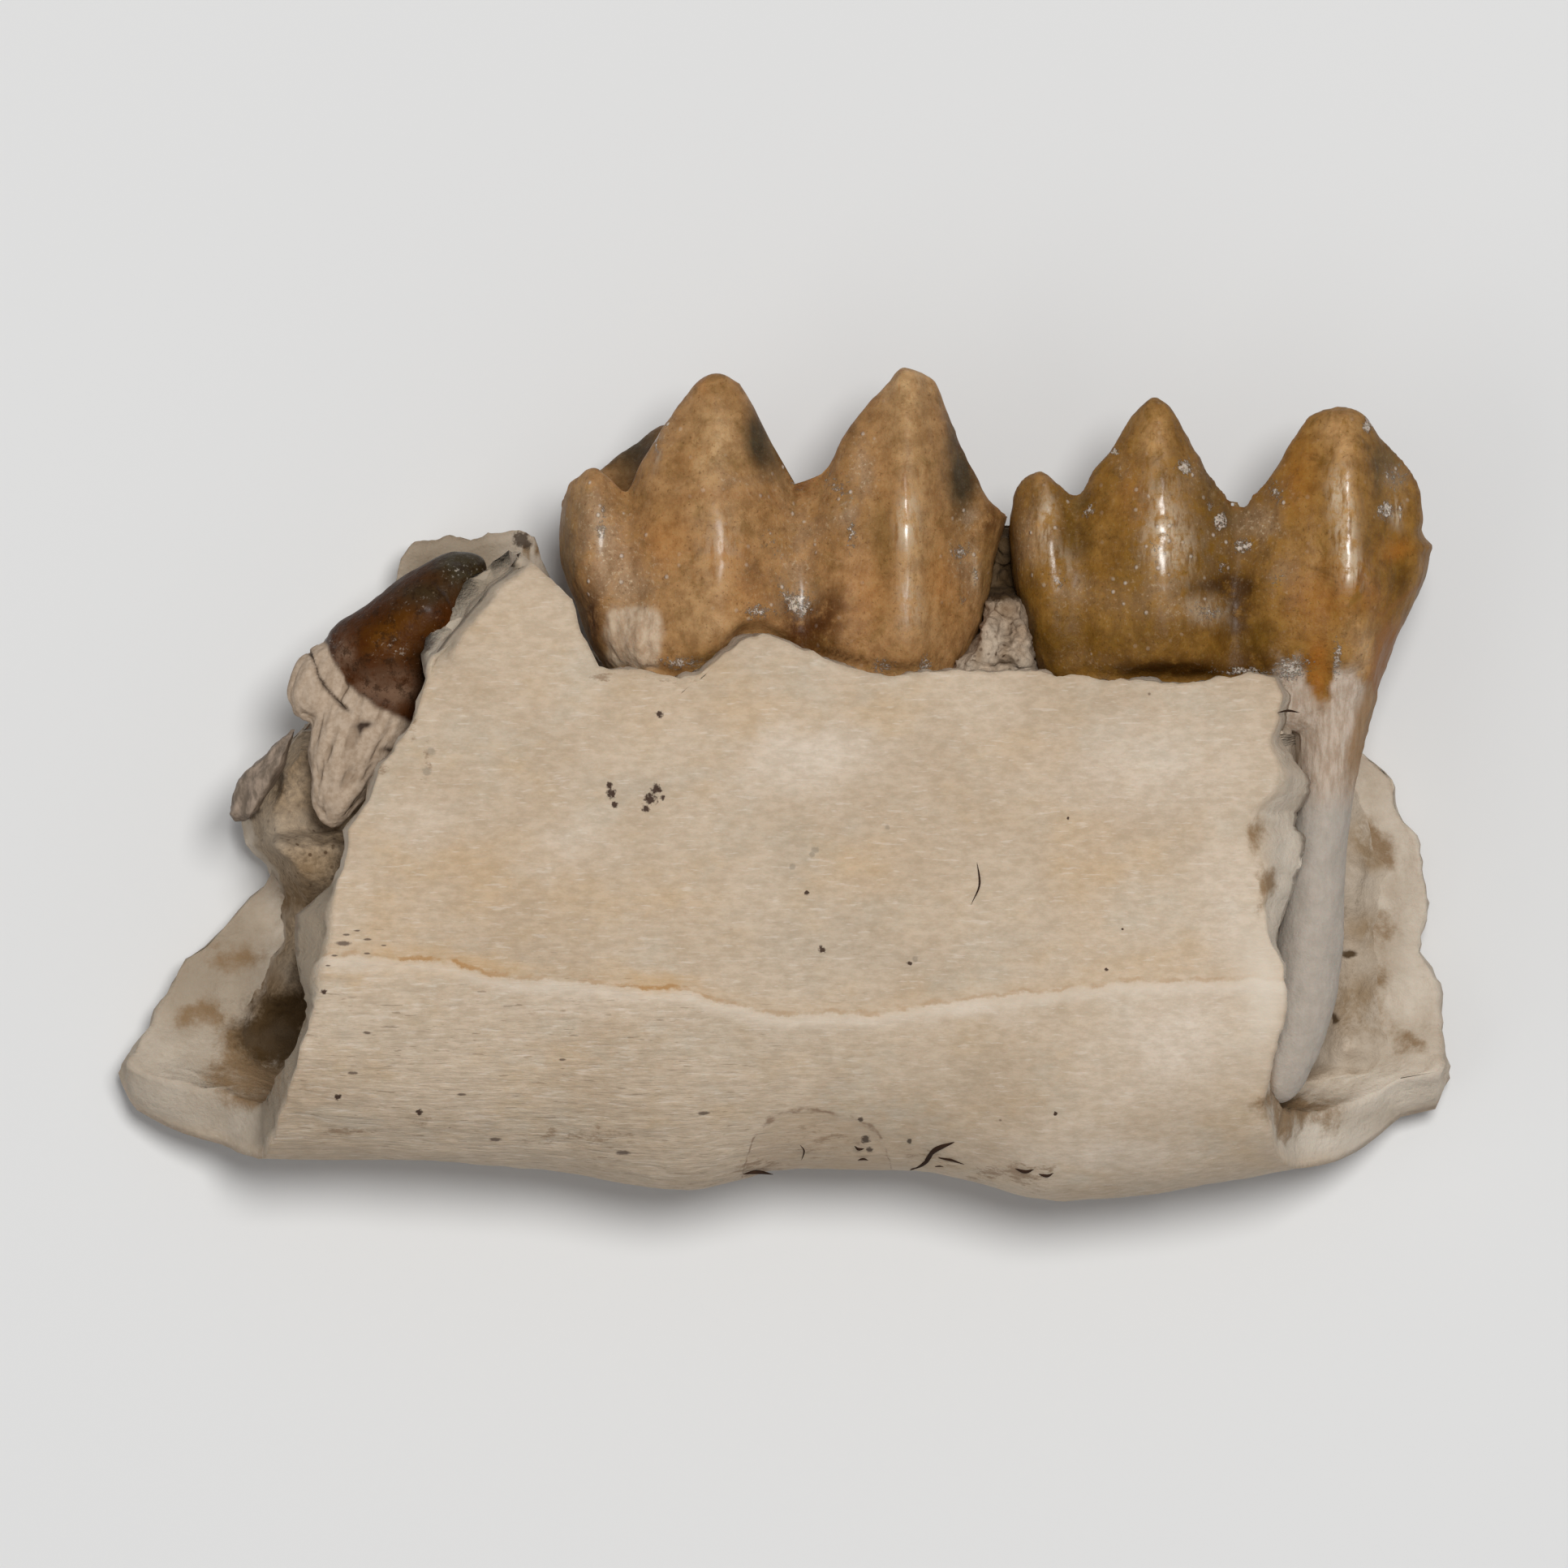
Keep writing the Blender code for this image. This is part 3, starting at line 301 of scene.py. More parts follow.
def noise(x, y, z, size, seed=0):
    """Smooth noise from -1 to 1, in lumps about size wide: hashed corners of a cube grid,
    blended by smooth steps."""
    px, py, pz = np.broadcast_arrays(x / size, y / size, z / size)
    ix, iy, iz = np.floor(px), np.floor(py), np.floor(pz)
    fx, fy, fz = (part * part * (3 - 2 * part) for part in (px - ix, py - iy, pz - iz))
    total = np.zeros(px.shape)
    for dx in (0, 1):
        for dy in (0, 1):
            for dz in (0, 1):
                weight = ((fx if dx else 1 - fx) * (fy if dy else 1 - fy)
                          * (fz if dz else 1 - fz))
                total += weight * lattice(ix + dx, iy + dy, iz + dz, seed)
    return 2 * total - 1


def rough(x, y, z, size, octaves=4, seed=0):
    """Sum of noises, each half as large and half as wide as the last."""
    total = 0
    for octave in range(octaves):
        total = total + noise(x, y, z, size / 2 ** octave, seed + octave) / 2 ** octave
    return total


# Meshes

def mesh_of(name, points, faces, merge=MERGE):
    """A closed mesh from points in millimetres, its doubles merged, faces outwards."""
    mesh = bpy.data.meshes.new(name)
    mesh.from_pydata((points - CENTRE).tolist(), [], faces)
    work = bmesh.new()
    work.from_mesh(mesh)
    bmesh.ops.remove_doubles(work, verts=work.verts, dist=merge)
    bmesh.ops.dissolve_degenerate(work, edges=work.edges, dist=merge)
    bmesh.ops.recalc_face_normals(work, faces=work.faces)
    work.to_mesh(mesh)
    work.free()
    return mesh


def points_of(mesh):
    """The mesh's points and normals, the points in the traced millimetres."""
    count = len(mesh.vertices)
    places = np.empty(count * 3)
    mesh.vertices.foreach_get("co", places)
    normals = np.empty(count * 3)
    mesh.vertex_normals.foreach_get("vector", normals)
    return places.reshape(-1, 3) + CENTRE, normals.reshape(-1, 3)


def xyz_of(mesh):
    """The traced x, y and z of the mesh's points."""
    return points_of(mesh)[0].T


def displace(mesh, shape):
    """Moves each point along its normal by shape(x, y, z, normals), in millimetres."""
    places, normals = points_of(mesh)
    away = shape(places[:, 0], places[:, 1], places[:, 2], normals)
    moved = places + normals * away[:, None] - CENTRE
    mesh.vertices.foreach_set("co", moved.ravel())
    mesh.update()


def mark(mesh, name, values):
    """Stores one number to a point, for the material to read."""
    layer = mesh.attributes.new(name, "FLOAT", "POINT")
    layer.data.foreach_set("value", np.clip(values, 0, 1).astype(np.float32))


def soften(mesh, chosen, rounds):
    """Relaxes the chosen points towards their neighbours, round after round."""
    work = bmesh.new()
    work.from_mesh(mesh)
    picked = [point for point, wanted in zip(work.verts, chosen) if wanted]
    for _ in range(rounds):
        bmesh.ops.smooth_vert(work, verts=picked, factor=0.5, use_axis_x=True,
                              use_axis_y=True, use_axis_z=True)
    work.to_mesh(mesh)
    work.free()


def piece_of(name, mesh, material, slot, *nodes):
    """The finished piece in metres, in the scene, riding on the root body."""
    places = np.empty(len(mesh.vertices) * 3)
    mesh.vertices.foreach_get("co", places)
    mesh.vertices.foreach_set("co", places * MM)
    mesh.update()
    mesh.shade_smooth()
    mesh.materials.append(material)
    piece = bpy.data.objects.new(name, mesh)
    bpy.context.scene.collection.objects.link(piece)
    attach(piece, "root")
    if nodes:
        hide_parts(*nodes)
    return piece


def fuse(name, solids, voxel, relaxing=12):
    """One skin round overlapping closed solids: a voxel remesh, then a light smoothing."""
    work = bpy.data.meshes.new(name)
    start = 0
    points = []
    faces = []
    for solid_points, solid_faces in solids:
        points.append(solid_points - CENTRE)
        faces += [tuple(corner + start for corner in face) for face in solid_faces]
        start += len(solid_points)
    work.from_pydata(np.concatenate(points).tolist(), [], faces)
    block = bpy.data.objects.new(name, work)
    bpy.context.scene.collection.objects.link(block)
    skin = block.modifiers.new("skin", "REMESH")
    skin.mode = "VOXEL"
    skin.voxel_size = voxel
    relax = block.modifiers.new("relax", "SMOOTH")
    relax.factor = 0.5
    relax.iterations = relaxing
    graph = bpy.context.evaluated_depsgraph_get()
    fused = bpy.data.meshes.new_from_object(block.evaluated_get(graph))
    bpy.data.objects.remove(block)
    fused.materials.clear()
    return fused


# Bone

def border_y(x):
    """Lower border of the jaw under each x."""
    return spline(x, LOWER_BORDER)


def upper_face(x, y):
    """Height of the upper wall's outer face above its rounding, a shallow arch in y."""
    return WALL_HIGH - WALL_FALL * (y - WALL_HIGH_AT_Y) ** 2 - SAG_AT_ENDS * np.abs(x) ** 1.5


def lower_face(x, y):
    """Height of the lower wall's outer face: flat on the ground, lifting at its ends."""
    side = np.clip(np.abs(x) - FLAT_X, 0, None)
    top = np.clip(y - FLAT_Y, 0, None)
    return END_LIFT * side ** 2 + TOP_LIFT * top ** 2


def upper_thickness(y):
    """The upper wall thins towards the gum line."""
    return UPPER_THICK + (LIP_THICK - UPPER_THICK) * ramp(y, LIP_FROM_Y, LIP_TO_Y)


def section(down, x, top, upper, inner):
    """Point of the bone's section at x, from the gum line (down 0) to the border (down 1).

    A straight run from the top edge to the rounding, then a quarter of an ellipse down
    to the lower border. The inner face has the same run, moved in by the wall.
    """
    straight = np.clip(down / STRAIGHT_SHARE, 0, 1)
    angle = np.clip((down - STRAIGHT_SHARE) / (1 - STRAIGHT_SHARE), 0, 1) * np.pi / 2
    reach = ROUNDING_Y - border_y(x) - (BORDER_THICK if inner else 0)
    y = top + (ROUNDING_Y - top) * straight - reach * np.sin(angle)
    flat_y = np.maximum(y, ROUNDING_Y)
    if upper:
        level = upper_face(x, flat_y) - (upper_thickness(flat_y) if inner else 0)
    else:
        level = lower_face(x, flat_y) + (LOWER_THICK if inner else 0)
    return y, BORDER_Z + (level - BORDER_Z) * np.cos(angle)


def down_of(point, top):
    """Which row of the section a traced point lies on."""
    x, y = point
    if y >= ROUNDING_Y:
        return STRAIGHT_SHARE * (top - y) / (top - ROUNDING_Y)
    reach = ROUNDING_Y - border_y(np.array([x]))[0]
    angle = np.arcsin(min((ROUNDING_Y - y) / reach, 1.0))
    return STRAIGHT_SHARE + (1 - STRAIGHT_SHARE) * angle / (np.pi / 2)


def edge_x(down, edge, line):
    """Where a traced broken edge crosses each row of the section."""
    tops = polyline(np.array([point[0] for point in edge]), line)
    rows = [(down_of(point, top), point[0]) for point, top in zip(edge, tops)]
    return polyline(down, rows)


def step_past(down, edge, steps, line):
    """Width of the inner layer's step at each row, read at the height of the edge."""
    tops = polyline(np.array([point[0] for point in edge]), line)
    rows = [(down_of(point, top), point[1]) for point, top in zip(edge, tops)]
    return polyline(polyline(down, rows), steps)


def inside_edge(down, edge, near_x):
    """Where the traced outline lies at the height of the lower wall's inner face."""
    top = polyline(near_x, FAR_LINE)
    y, _ = section(down, near_x, top, False, True)
    return polyline(y, [(point[1], point[0]) for point in edge])


def ragged(down, size, seed):
    """Fine break-up of a broken edge, along the rows."""
    return size * rough(down * 9.0, 0 * down, 0 * down, 0.35, 4, seed)


def wall_grid(down, across, upper, inner):
    """Grid of points on one face of one wall, rows by columns."""
    line = GUM_LINE if upper else FAR_LINE
    left = edge_x(down, UPPER_LEFT if upper else LOWER_LEFT, line)
    right = edge_x(down, UPPER_RIGHT if upper else LOWER_RIGHT, line)
    if inner and upper:
        left = left - step_past(down, UPPER_LEFT, INNER_STEP_LEFT, line)
        right = right + step_past(down, UPPER_RIGHT, INNER_STEP_RIGHT, line)
    if inner and not upper:
        left = np.maximum(left, inside_edge(down, LOWER_LEFT, left))
        right = np.minimum(right, inside_edge(down, LOWER_RIGHT, right))
    fade = 1 - ramp(down, 0.9, 1.0)
    left = left + fade * ragged(down, EDGE_RAG, 3 if upper else 7)
    right = right + fade * ragged(down, EDGE_RAG, 5 if upper else 9)
    x = left[:, None] + across[None, :] * (right - left)[:, None]
    first_x = line[0][0] + across * (line[-1][0] - line[0][0])
    rag = TOP_RAG * rough(first_x, 0 * across, 0 * across, 0.24, 4, 11)
    top = polyline(first_x, line) + rag
    y, z = section(down[:, None] + 0 * x, x, top[None, :] + 0 * x, upper, inner)
    return np.stack([x, y, z], axis=2)


def with_rims(outer, inner):
    """Adds the broken faces round a wall grid: its rim runs from outer to inner edge.

    Row and column pads repeat the border, and each padded point slides towards the inner
    face by how far out it is padded.
    """
    rows, columns = outer.shape[:2]
    row = np.clip(np.arange(-RIM_STEPS, rows + RIM_STEPS), 0, rows - 1)
    column = np.clip(np.arange(-RIM_STEPS, columns + RIM_STEPS), 0, columns - 1)
    row_pad = np.abs(np.arange(-RIM_STEPS, rows + RIM_STEPS) - row) / RIM_STEPS
    column_pad = np.abs(np.arange(-RIM_STEPS, columns + RIM_STEPS) - column) / RIM_STEPS
    share = np.maximum(row_pad[:, None], column_pad[None, :])[:, :, None]
    picked_outer = outer[row][:, column]
    picked_inner = inner[row][:, column]
    return picked_outer + (picked_inner - picked_outer) * share


def grid_faces(rows, columns, start=0, flip=False):
    """Quads of a grid of points."""
    index = np.arange(rows * columns).reshape(rows, columns) + start
    corners = (index[:-1, :-1], index[1:, :-1], index[1:, 1:], index[:-1, 1:])
    quads = np.stack([part.ravel() for part in corners], axis=1)
    return (quads[:, ::-1] if flip else quads).tolist()


def thick_sheet(outer, inner):
    """Points and faces of a closed sheet: the outer grid with rims, and the inner grid."""
    skin = with_rims(outer, inner)
    rows, columns = skin.shape[:2]
    points = np.concatenate([skin.reshape(-1, 3), inner.reshape(-1, 3)])
    faces = grid_faces(rows, columns)
    faces += grid_faces(inner.shape[0], inner.shape[1], rows * columns, True)
    return points, faces


def ledge_offset(x, y, z):
    """Distance in y above the wavy ledge line."""
    return y - spline(x, LEDGE_LINE) - 0.05 * noise(x, y, z, 0.5, 21) - 0.03 * noise(
        x, y, z, 0.17, 22)


def chip_offset(x, y, z):
    """Distance in y below the ragged upper edge of the chip in the lower border."""
    return spline(x, CHIP_LINE) + 0.07 * rough(x, y, z, 0.30, 3, 35) - y


def edge_gap(x, y):
    """Distance to the right of the broken left edge, measured across the spike's slope."""
    edge = polyline(y, [(point[1], point[0]) for point in UPPER_LEFT])
    return 0.7 * (x - edge) + 0.05 * rough(x, y, 0 * x, 0.25, 3, 36)


LEDGE_HIGH = 0.055
GROOVE_DEEP = 0.030
CHIP_DEEP = 0.025
PIT_DEEP = 0.05
BEVEL_DEEP = 0.34
FIBRE_HIGH = 0.018
PITS = [(-2.57, -0.14), (-1.99, -0.23), (-1.92, -0.10)]


def bone_relief(x, y, z, normals):
    """Ledge along the lower third, soft waves, fibres along the jaw, pits and chips."""
    outside = ramp(z, 2.2, 3.2) * ramp(normals[:, 2], -0.2, 0.4)
    above = ledge_offset(x, y, z)
    ledge = LEDGE_HIGH * ramp(-above, -0.03, 0.12) * ramp(y, -5.6, -4.2)
    groove = -GROOVE_DEEP * ridge(above, 0.05) * ramp(-x, -3.0, 4.5)
    waves = 0.05 * noise(x, y, z, 2.6, 31) + 0.022 * noise(x, y, z, 0.9, 32)
    grain = 0.012 * rough(x, y, z, 0.28, 3, 33)
    coarse = 0.22 + 0.78 * ramp(-y, 1.5, 4.0) * ramp(-x, -3.0, 3.0)
    fibres = FIBRE_HIGH * rough(x * 0.22, y + 0.02 * x, z, 0.12, 2, 34) * coarse
    chip = -CHIP_DEEP * ramp(chip_offset(x, y, z), -0.02, 0.10)
    pits = sum(-PIT_DEEP * bump(x, y, at, (0.05, 0.10)) for at in PITS)
    bevel = -BEVEL_DEEP * (1 - ramp(edge_gap(x, y), 0.0, 0.30)) * ramp(y, 1.5, 2.1)
    skin = outside * (ledge + groove + chip + pits + fibres + bevel) + waves + grain
    resting = ramp(-normals[:, 2], 0.5, 0.95) * (z < 0.9)
    return skin * (1 - resting)


def broken_relief(mesh, depth):
    """Lumpy break of the rims and inner faces, stronger the deeper a point lies."""
    def shape(x, y, z, normals):
        lumps = 0.055 * rough(x, y, z, 0.30, 4, 41) + 0.05 * noise(x, y, z, 0.7, 45)
        return lumps * depth
    displace(mesh, shape)


def make_bone():
    """The bone as one thick sheet bent into a U, with broken rims."""
    upper_down = np.linspace(0, 1, UPPER_ROWS)
    lower_down = np.linspace(1, 0, LOWER_ROWS)[1:]
    across = np.linspace(0, 1, BONE_COLUMNS)
    grids = []
    for inner in (False, True):
        upper = wall_grid(upper_down, across, True, inner)
        lower = wall_grid(lower_down, across, False, inner)
        grids.append(np.concatenate([upper, lower]))
    mesh = mesh_of("bone_piece", *thick_sheet(*grids))
    x, y, z = xyz_of(mesh)
    depth = bone_depth(x, y, z)
    displace(mesh, bone_relief)
    broken_relief(mesh, ramp(depth, 0.08, 0.35))
    mark_bone(mesh, x, y, z, depth)
    return piece_of("bone_piece", mesh, bone_material(), "bone", "jaw_bone")


def bone_depth(x, y, z):
    """How far a point lies under the bone's outer face: 0 on it, the wall's thickness
    on the inner face."""
    reach = ROUNDING_Y - border_y(x)
    turn = np.clip((ROUNDING_Y - y) / reach, 0, 1)
    flat_y = np.maximum(y, ROUNDING_Y)
    upper = z > BORDER_Z
    level = np.where(upper, upper_face(x, flat_y), lower_face(x, flat_y))
    radial = np.sqrt(turn ** 2 + ((z - BORDER_Z) / (level - BORDER_Z)) ** 2)
    return np.clip((1 - radial) * np.where(y < ROUNDING_Y, 2.75, np.abs(level - BORDER_Z)),
                   0, None)


def patches(x, y, z, spots, wander=0.10):
    """Sum of soft patches, each x, y, width, height, strength, with wandering edges."""
    x = x + wander * rough(x, y, z, 0.5, 3, 101)
    y = y + wander * rough(x, y, z, 0.5, 3, 102)
    return sum(strength * bump(x, y, (at_x, at_y), (wide, high))
               for at_x, at_y, wide, high, strength in spots)


# Stains on the bone: x, y, width, height, strength.
STAINED_LEDGE = [(-5.1, -2.7, 0.9, 0.5, 0.7), (-1.9, -3.0, 0.6, 0.5, 0.7)]
WARM_PATCHES = [
    (-4.4, -1.4, 1.1, 0.7, 1.0), (1.2, -1.4, 0.8, 0.6, 0.7), (4.6, -1.3, 0.5, 0.9, 1.0),
    (-4.0, 2.2, 0.8, 0.9, 0.4), (-0.6, 1.1, 2.0, 0.4, 0.8), (-6.0, -2.2, 0.6, 0.6, 0.7),
    (-1.9, -1.8, 1.0, 0.4, 0.5), (3.6, 0.5, 1.0, 0.3, 0.5), (-5.2, -2.75, 1.6, 0.16, 1.2),
    (-1.9, -3.0, 0.7, 0.14, 1.2), (5.6, -2.6, 1.2, 0.25, 0.5)]
GREY_PATCHES = [
    (0.5, -2.45, 0.9, 0.5, 0.8), (-2.3, -0.15, 0.6, 0.25, 0.9), (1.9, -2.6, 0.8, 0.3, 0.5),
    (0.3, -1.2, 0.5, 0.5, 0.5), (-0.3, -3.7, 1.4, 0.4, 0.5), (-5.6, -3.7, 1.2, 0.4, 0.4),
    (3.3, -2.3, 0.6, 0.5, 0.6), (2.9, -4.2, 0.9, 0.5, 0.3)]
PALE_PATCHES = [
    (5.8, -3.8, 1.1, 0.8, 1.0), (5.4, 0.2, 1.5, 0.7, 0.7), (2.9, -3.45, 0.6, 0.18, 0.8),
    (-3.3, -1.0, 0.5, 0.4, 0.6), (4.8, -5.5, 1.4, 0.35, 0.8), (0.2, 0.3, 0.9, 0.5, 0.7),
    (6.6, -1.9, 0.5, 0.9, 0.8), (-5.2, -0.6, 0.9, 0.4, 0.4), (-3.0, -3.3, 1.5, 0.25, 0.5),
    (0.9, 0.6, 0.9, 0.4, 0.5)]
BROWN_PATCHES = [
    (8.78, -0.82, 0.28, 0.3, 1.4), (8.85, -1.15, 0.22, 0.14, 1.0), (8.75, -2.2, 0.45, 0.3, 1.0),
    (8.6, -3.35, 0.5, 0.55, 1.2), (9.38, -3.8, 0.16, 0.14, 0.8), (7.8, -4.96, 0.55, 0.26, 1.5),
    (7.45, -4.72, 0.4, 0.14, 1.2), (8.1, -4.25, 0.16, 0.22, 0.9), (-8.8, -3.48, 0.28, 0.22, 1.2),
    (-8.25, -2.6, 0.42, 0.28, 1.3), (-7.95, -4.4, 0.6, 0.4, 1.1), (-8.3, -3.9, 0.24, 0.34, 1.0),
    (-7.4, -1.65, 0.25, 0.25, 0.9), (7.06, -0.72, 0.15, 0.34, 1.2), (7.16, -1.52, 0.1, 0.26, 0.9),
    (-6.35, -4.8, 0.6, 0.12, 0.5), (-7.45, -4.6, 0.3, 0.3, 0.7), (-3.95, 3.62, 0.14, 0.08, 1.5)]
DIRT_PATCHES = [
    (0.55, -5.35, 0.95, 0.4, 0.45), (-3.1, -5.25, 1.0, 0.16, 0.7), (-0.4, -5.8, 0.5, 0.12, 0.8),
    (3.4, -5.8, 0.7, 0.14, 0.8), (2.2, -5.55, 0.5, 0.16, 0.7), (-6.5, -5.17, 0.45, 0.08, 0.9),
    (-5.4, -4.95, 0.4, 0.1, 0.5), (-2.65, 1.66, 0.35, 0.1, 0.8), (-1.6, 1.5, 0.5, 0.08, 0.6),
    # The narrow patches at x -5.3 and -5.5 darken the bone along its broken edge beside the premolar.
    (-5.3, 0.35, 0.06, 0.3, 0.8), (-5.5, 1.1, 0.08, 0.5, 0.9), (-6.1, 0.2, 0.25, 0.1, 0.9),
    (0.0, -6.05, 7.5, 0.16, 0.35)]
# Parts of the low ends and of the right broken face that are nearly white: their own pale colour,
# lifted further by painted light where those faces lie in shade.
NEAR_WHITE_AND_PAINTED_LIGHT_PATCHES = [
    (9.1, -4.55, 0.9, 0.28, 1.0), (8.4, -5.35, 0.9, 0.3, 1.0), (9.3, 0.0, 0.3, 0.8, 0.4),
    (9.5, -2.6, 0.25, 1.0, 0.5), (-9.4, -4.4, 0.5, 0.6, 0.25), (-8.6, -5.1, 0.8, 0.22, 0.2),
    (7.15, -3.0, 0.35, 1.0, 0.9), (7.45, -1.2, 0.25, 0.9, 0.6)]


def mark_bone(mesh, x, y, z, depth):
    """Masks for the bone's material."""
    upper = ramp(z, 2.4, 3.0)
    inside = ramp(depth, 0.06, 0.30)
    mark(mesh, "inside", inside)
    above = np.where(upper > 0.5, ledge_offset(x, y, z), 1.0)
    mark(mesh, "above_ledge", 0.5 + 0.5 * above)
    mark(mesh, "stained", 0.30 + patches(x, y, z, STAINED_LEDGE))
    mark(mesh, "fibre", upper * (0.12 + 0.88 * ramp(-y, 1.0, 4.0) * ramp(-x, -3.5, 3.0)))
    chip = np.where(upper > 0.5, chip_offset(x, y, z), -1.0)
    mark(mesh, "below_chip", 0.5 + 0.5 * chip)
    mark(mesh, "dirt", patches(x, y, z, DIRT_PATCHES) * upper)
    bevel = (1 - ramp(edge_gap(x, y), 0.16, 0.30)) * ramp(y, 1.7, 2.2) * upper
    mark(mesh, "bevel", bevel)
    # Near-white patches, partly painted light on faces that lie in shade.
    mark(mesh, "light", patches(x, y, z, NEAR_WHITE_AND_PAINTED_LIGHT_PATCHES))
    mark(mesh, "warm", patches(x, y, z, WARM_PATCHES, 0.25) * upper)
    mark(mesh, "pale", patches(x, y, z, PALE_PATCHES, 0.25) * upper)
    # Grey mark: grey patches on the face, the inner face under the spike, painted shade on the upper
    # wall's broken front end (the wall term), and the far plate's left end, darker towards its top (the
    # end term).
    spike = 1.3 * bump(x, y, (-5.0, 3.4), (0.9, 0.8)) * inside
    wall = ramp(-x, 6.2, 6.6) * ramp(-y, 1.3, 1.6) * inside * upper
    end = (0.40 + 0.40 * ramp(y, -3.9, -2.8)) * ramp(-x, 7.5, 8.2) * (1 - upper)
    mark(mesh, "grey", patches(x, y, z, GREY_PATCHES, 0.25) * upper + spike + 1.6 * wall + end)
    on_front = upper * (x < 0)
    mark(mesh, "brown", patches(x, y, z, BROWN_PATCHES, 0.20) * (1 - 0.65 * on_front))
    mark(mesh, "hollow", patches(x, y, z, FRONT_ZONES["dark"][:2], 0.08) * (1 - upper))


# Teeth

def between_walls(x, y, z):
    """Keeps a height clear of both walls below their top edges, freely above them."""
    over_gum = ramp(y - polyline(x, GUM_LINE), FREE_FROM, FREE_TO)
    over_far = ramp(y - polyline(x, FAR_LINE), FREE_FROM, FREE_TO)
    ceiling = upper_face(x, y) - upper_thickness(y) - CONTACT_GAP + FREE_ABOVE * over_gum
    floor = lower_face(x, y) + LOWER_THICK + CONTACT_GAP - FREE_ABOVE * over_far
    return np.maximum(np.minimum(z, ceiling), floor)


def crown_grid(crest, far_crest, left, right, ribs, rings, columns, lump=0.0):
    """Grid of one molar crown, a closed M-shaped section carried along the tooth row.

    Each section runs from the foot up the tongue side to the tall crest, down into the
    valley, over the cheek-side crest and down to the foot. Towards both ends it is
    squeezed to the middle by a rounded rectangle, so the ends are round.
    """
    turn = np.linspace(np.pi, 0, columns)
    side = np.sign(np.cos(turn)) * np.abs(np.cos(turn)) ** END_ROUNDNESS
    along = 0.5 + 0.5 * side
    squeeze = END_THICKNESS + (1 - END_THICKNESS) * np.abs(np.sin(turn)) ** END_ROUNDNESS
    crest_x = crest[0][0] + (crest[-1][0] - crest[0][0]) * along
    near = spline(crest_x, crest)
    far = spline(crest_x, far_crest)
    valley = np.minimum(near, far) - VALLEY_DEPTH * squeeze ** 2
    levels = {"base": 0 * near + CROWN_BASE, "foot": 0 * near + CROWN_FOOT, "near": near,
              "far": far, "valley": valley}
    waist = 0.5 + 0.5 * np.cos(2 * np.pi * np.clip((along - 0.5) * 2, -0.5, 0.5))
    places = np.array([row[0] for row in CROWN_SECTION])
    ys = np.array([levels[low] + (levels[high] - levels[low]) * share
                   for _, low, high, share, _, _ in CROWN_SECTION])
    zs = np.array([depth + drawn_in * waist for *_, depth, drawn_in in CROWN_SECTION])
    around = np.linspace(0, 1, rings)
    y = spline_rows(around, places, ys)
    z = spline_rows(around, places, zs)
    edge_left = spline(y, left)
    edge_right = spline(y, right)
    x = edge_left + (edge_right - edge_left) * along[None, :]
    face = ramp(around, *RIBS_RISE) * (1 - ramp(around, *RIBS_FADE))
    relief = sum(high * ridge(x - at, wide) for at, wide, high in ribs)
    relief = relief + lump * bump(x, y, LUMP_AT, LUMP_SIZE)
    z = CROWN_Z + (z + relief * face[:, None]) * squeeze[None, :]
    return np.stack([x, y, between_walls(x, y, z)], axis=2)


def crown_faces(rings, columns):
    """Faces of a crown grid: its wall, its foot, and both ends zipped side to side."""
    index = np.arange(rings * columns).reshape(rings, columns)
    looped = np.concatenate([index, index[:1]])
    corners = (looped[:-1, :-1], looped[:-1, 1:], looped[1:, 1:], looped[1:, :-1])
    faces = np.stack([part.ravel() for part in corners], axis=1).tolist()
    step = np.arange(rings // 2 - 1)
    mirror = rings - 1 - step
    for column, order in ((0, 1), (-1, -1)):
        side = index[:, column]
        ends = np.stack([side[step], side[step + 1], side[mirror - 1], side[mirror]], axis=1)
        faces += ends[:, ::order].tolist()
    return faces


def tube(path, rings, sides):
    """Points and faces of a round-ended tube along a path of x, y, z, half width, half
    depth: an ellipse across the path, whose size follows a quarter circle at both ends."""
    path = np.array(path, float)
    length = np.concatenate([[0], np.cumsum(np.hypot(*np.diff(path[:, :2], axis=0).T))])
    share = 0.5 - 0.5 * np.cos(np.linspace(0, np.pi, rings + 2)[1:-1])
    smooth = spline_rows(share * length[-1], length, path)
    centre = smooth[:, :3]
    forward = np.gradient(centre, axis=0)
    forward /= np.linalg.norm(forward, axis=1)[:, None]
    side = np.stack([-forward[:, 1], forward[:, 0], 0 * forward[:, 0]], axis=1)
    side /= np.linalg.norm(side, axis=1)[:, None]
    rise = np.cross(forward, side)
    end = np.minimum(share, 1 - share) * length[-1] / min(0.35, 0.45 * length[-1])
    close = np.sqrt(1 - (1 - np.clip(end, 0, 1)) ** 2)
    turn = np.arange(sides) * 2 * np.pi / sides
    wide = (smooth[:, 3] * close)[:, None, None] * np.cos(turn)[None, :, None]
    deep = (smooth[:, 4] * close)[:, None, None] * np.sin(turn)[None, :, None]
    ring = centre[:, None, :] + wide * side[:, None, :] + deep * rise[:, None, :]
    points = np.concatenate([ring.reshape(-1, 3), path[:1, :3], path[-1:, :3]])
    index = np.arange(rings * sides).reshape(rings, sides)
    turned = np.roll(index, -1, axis=1)
    corners = (index[:-1], turned[:-1], turned[1:], index[1:])
    faces = np.stack([part.ravel() for part in corners], axis=1).tolist()
    start = rings * sides
    faces += [(start, turned[0, k], index[0, k]) for k in range(sides)]
    faces += [(start + 1, index[-1, k], turned[-1, k]) for k in range(sides)]
    return points, [tuple(int(corner) for corner in face) for face in faces]


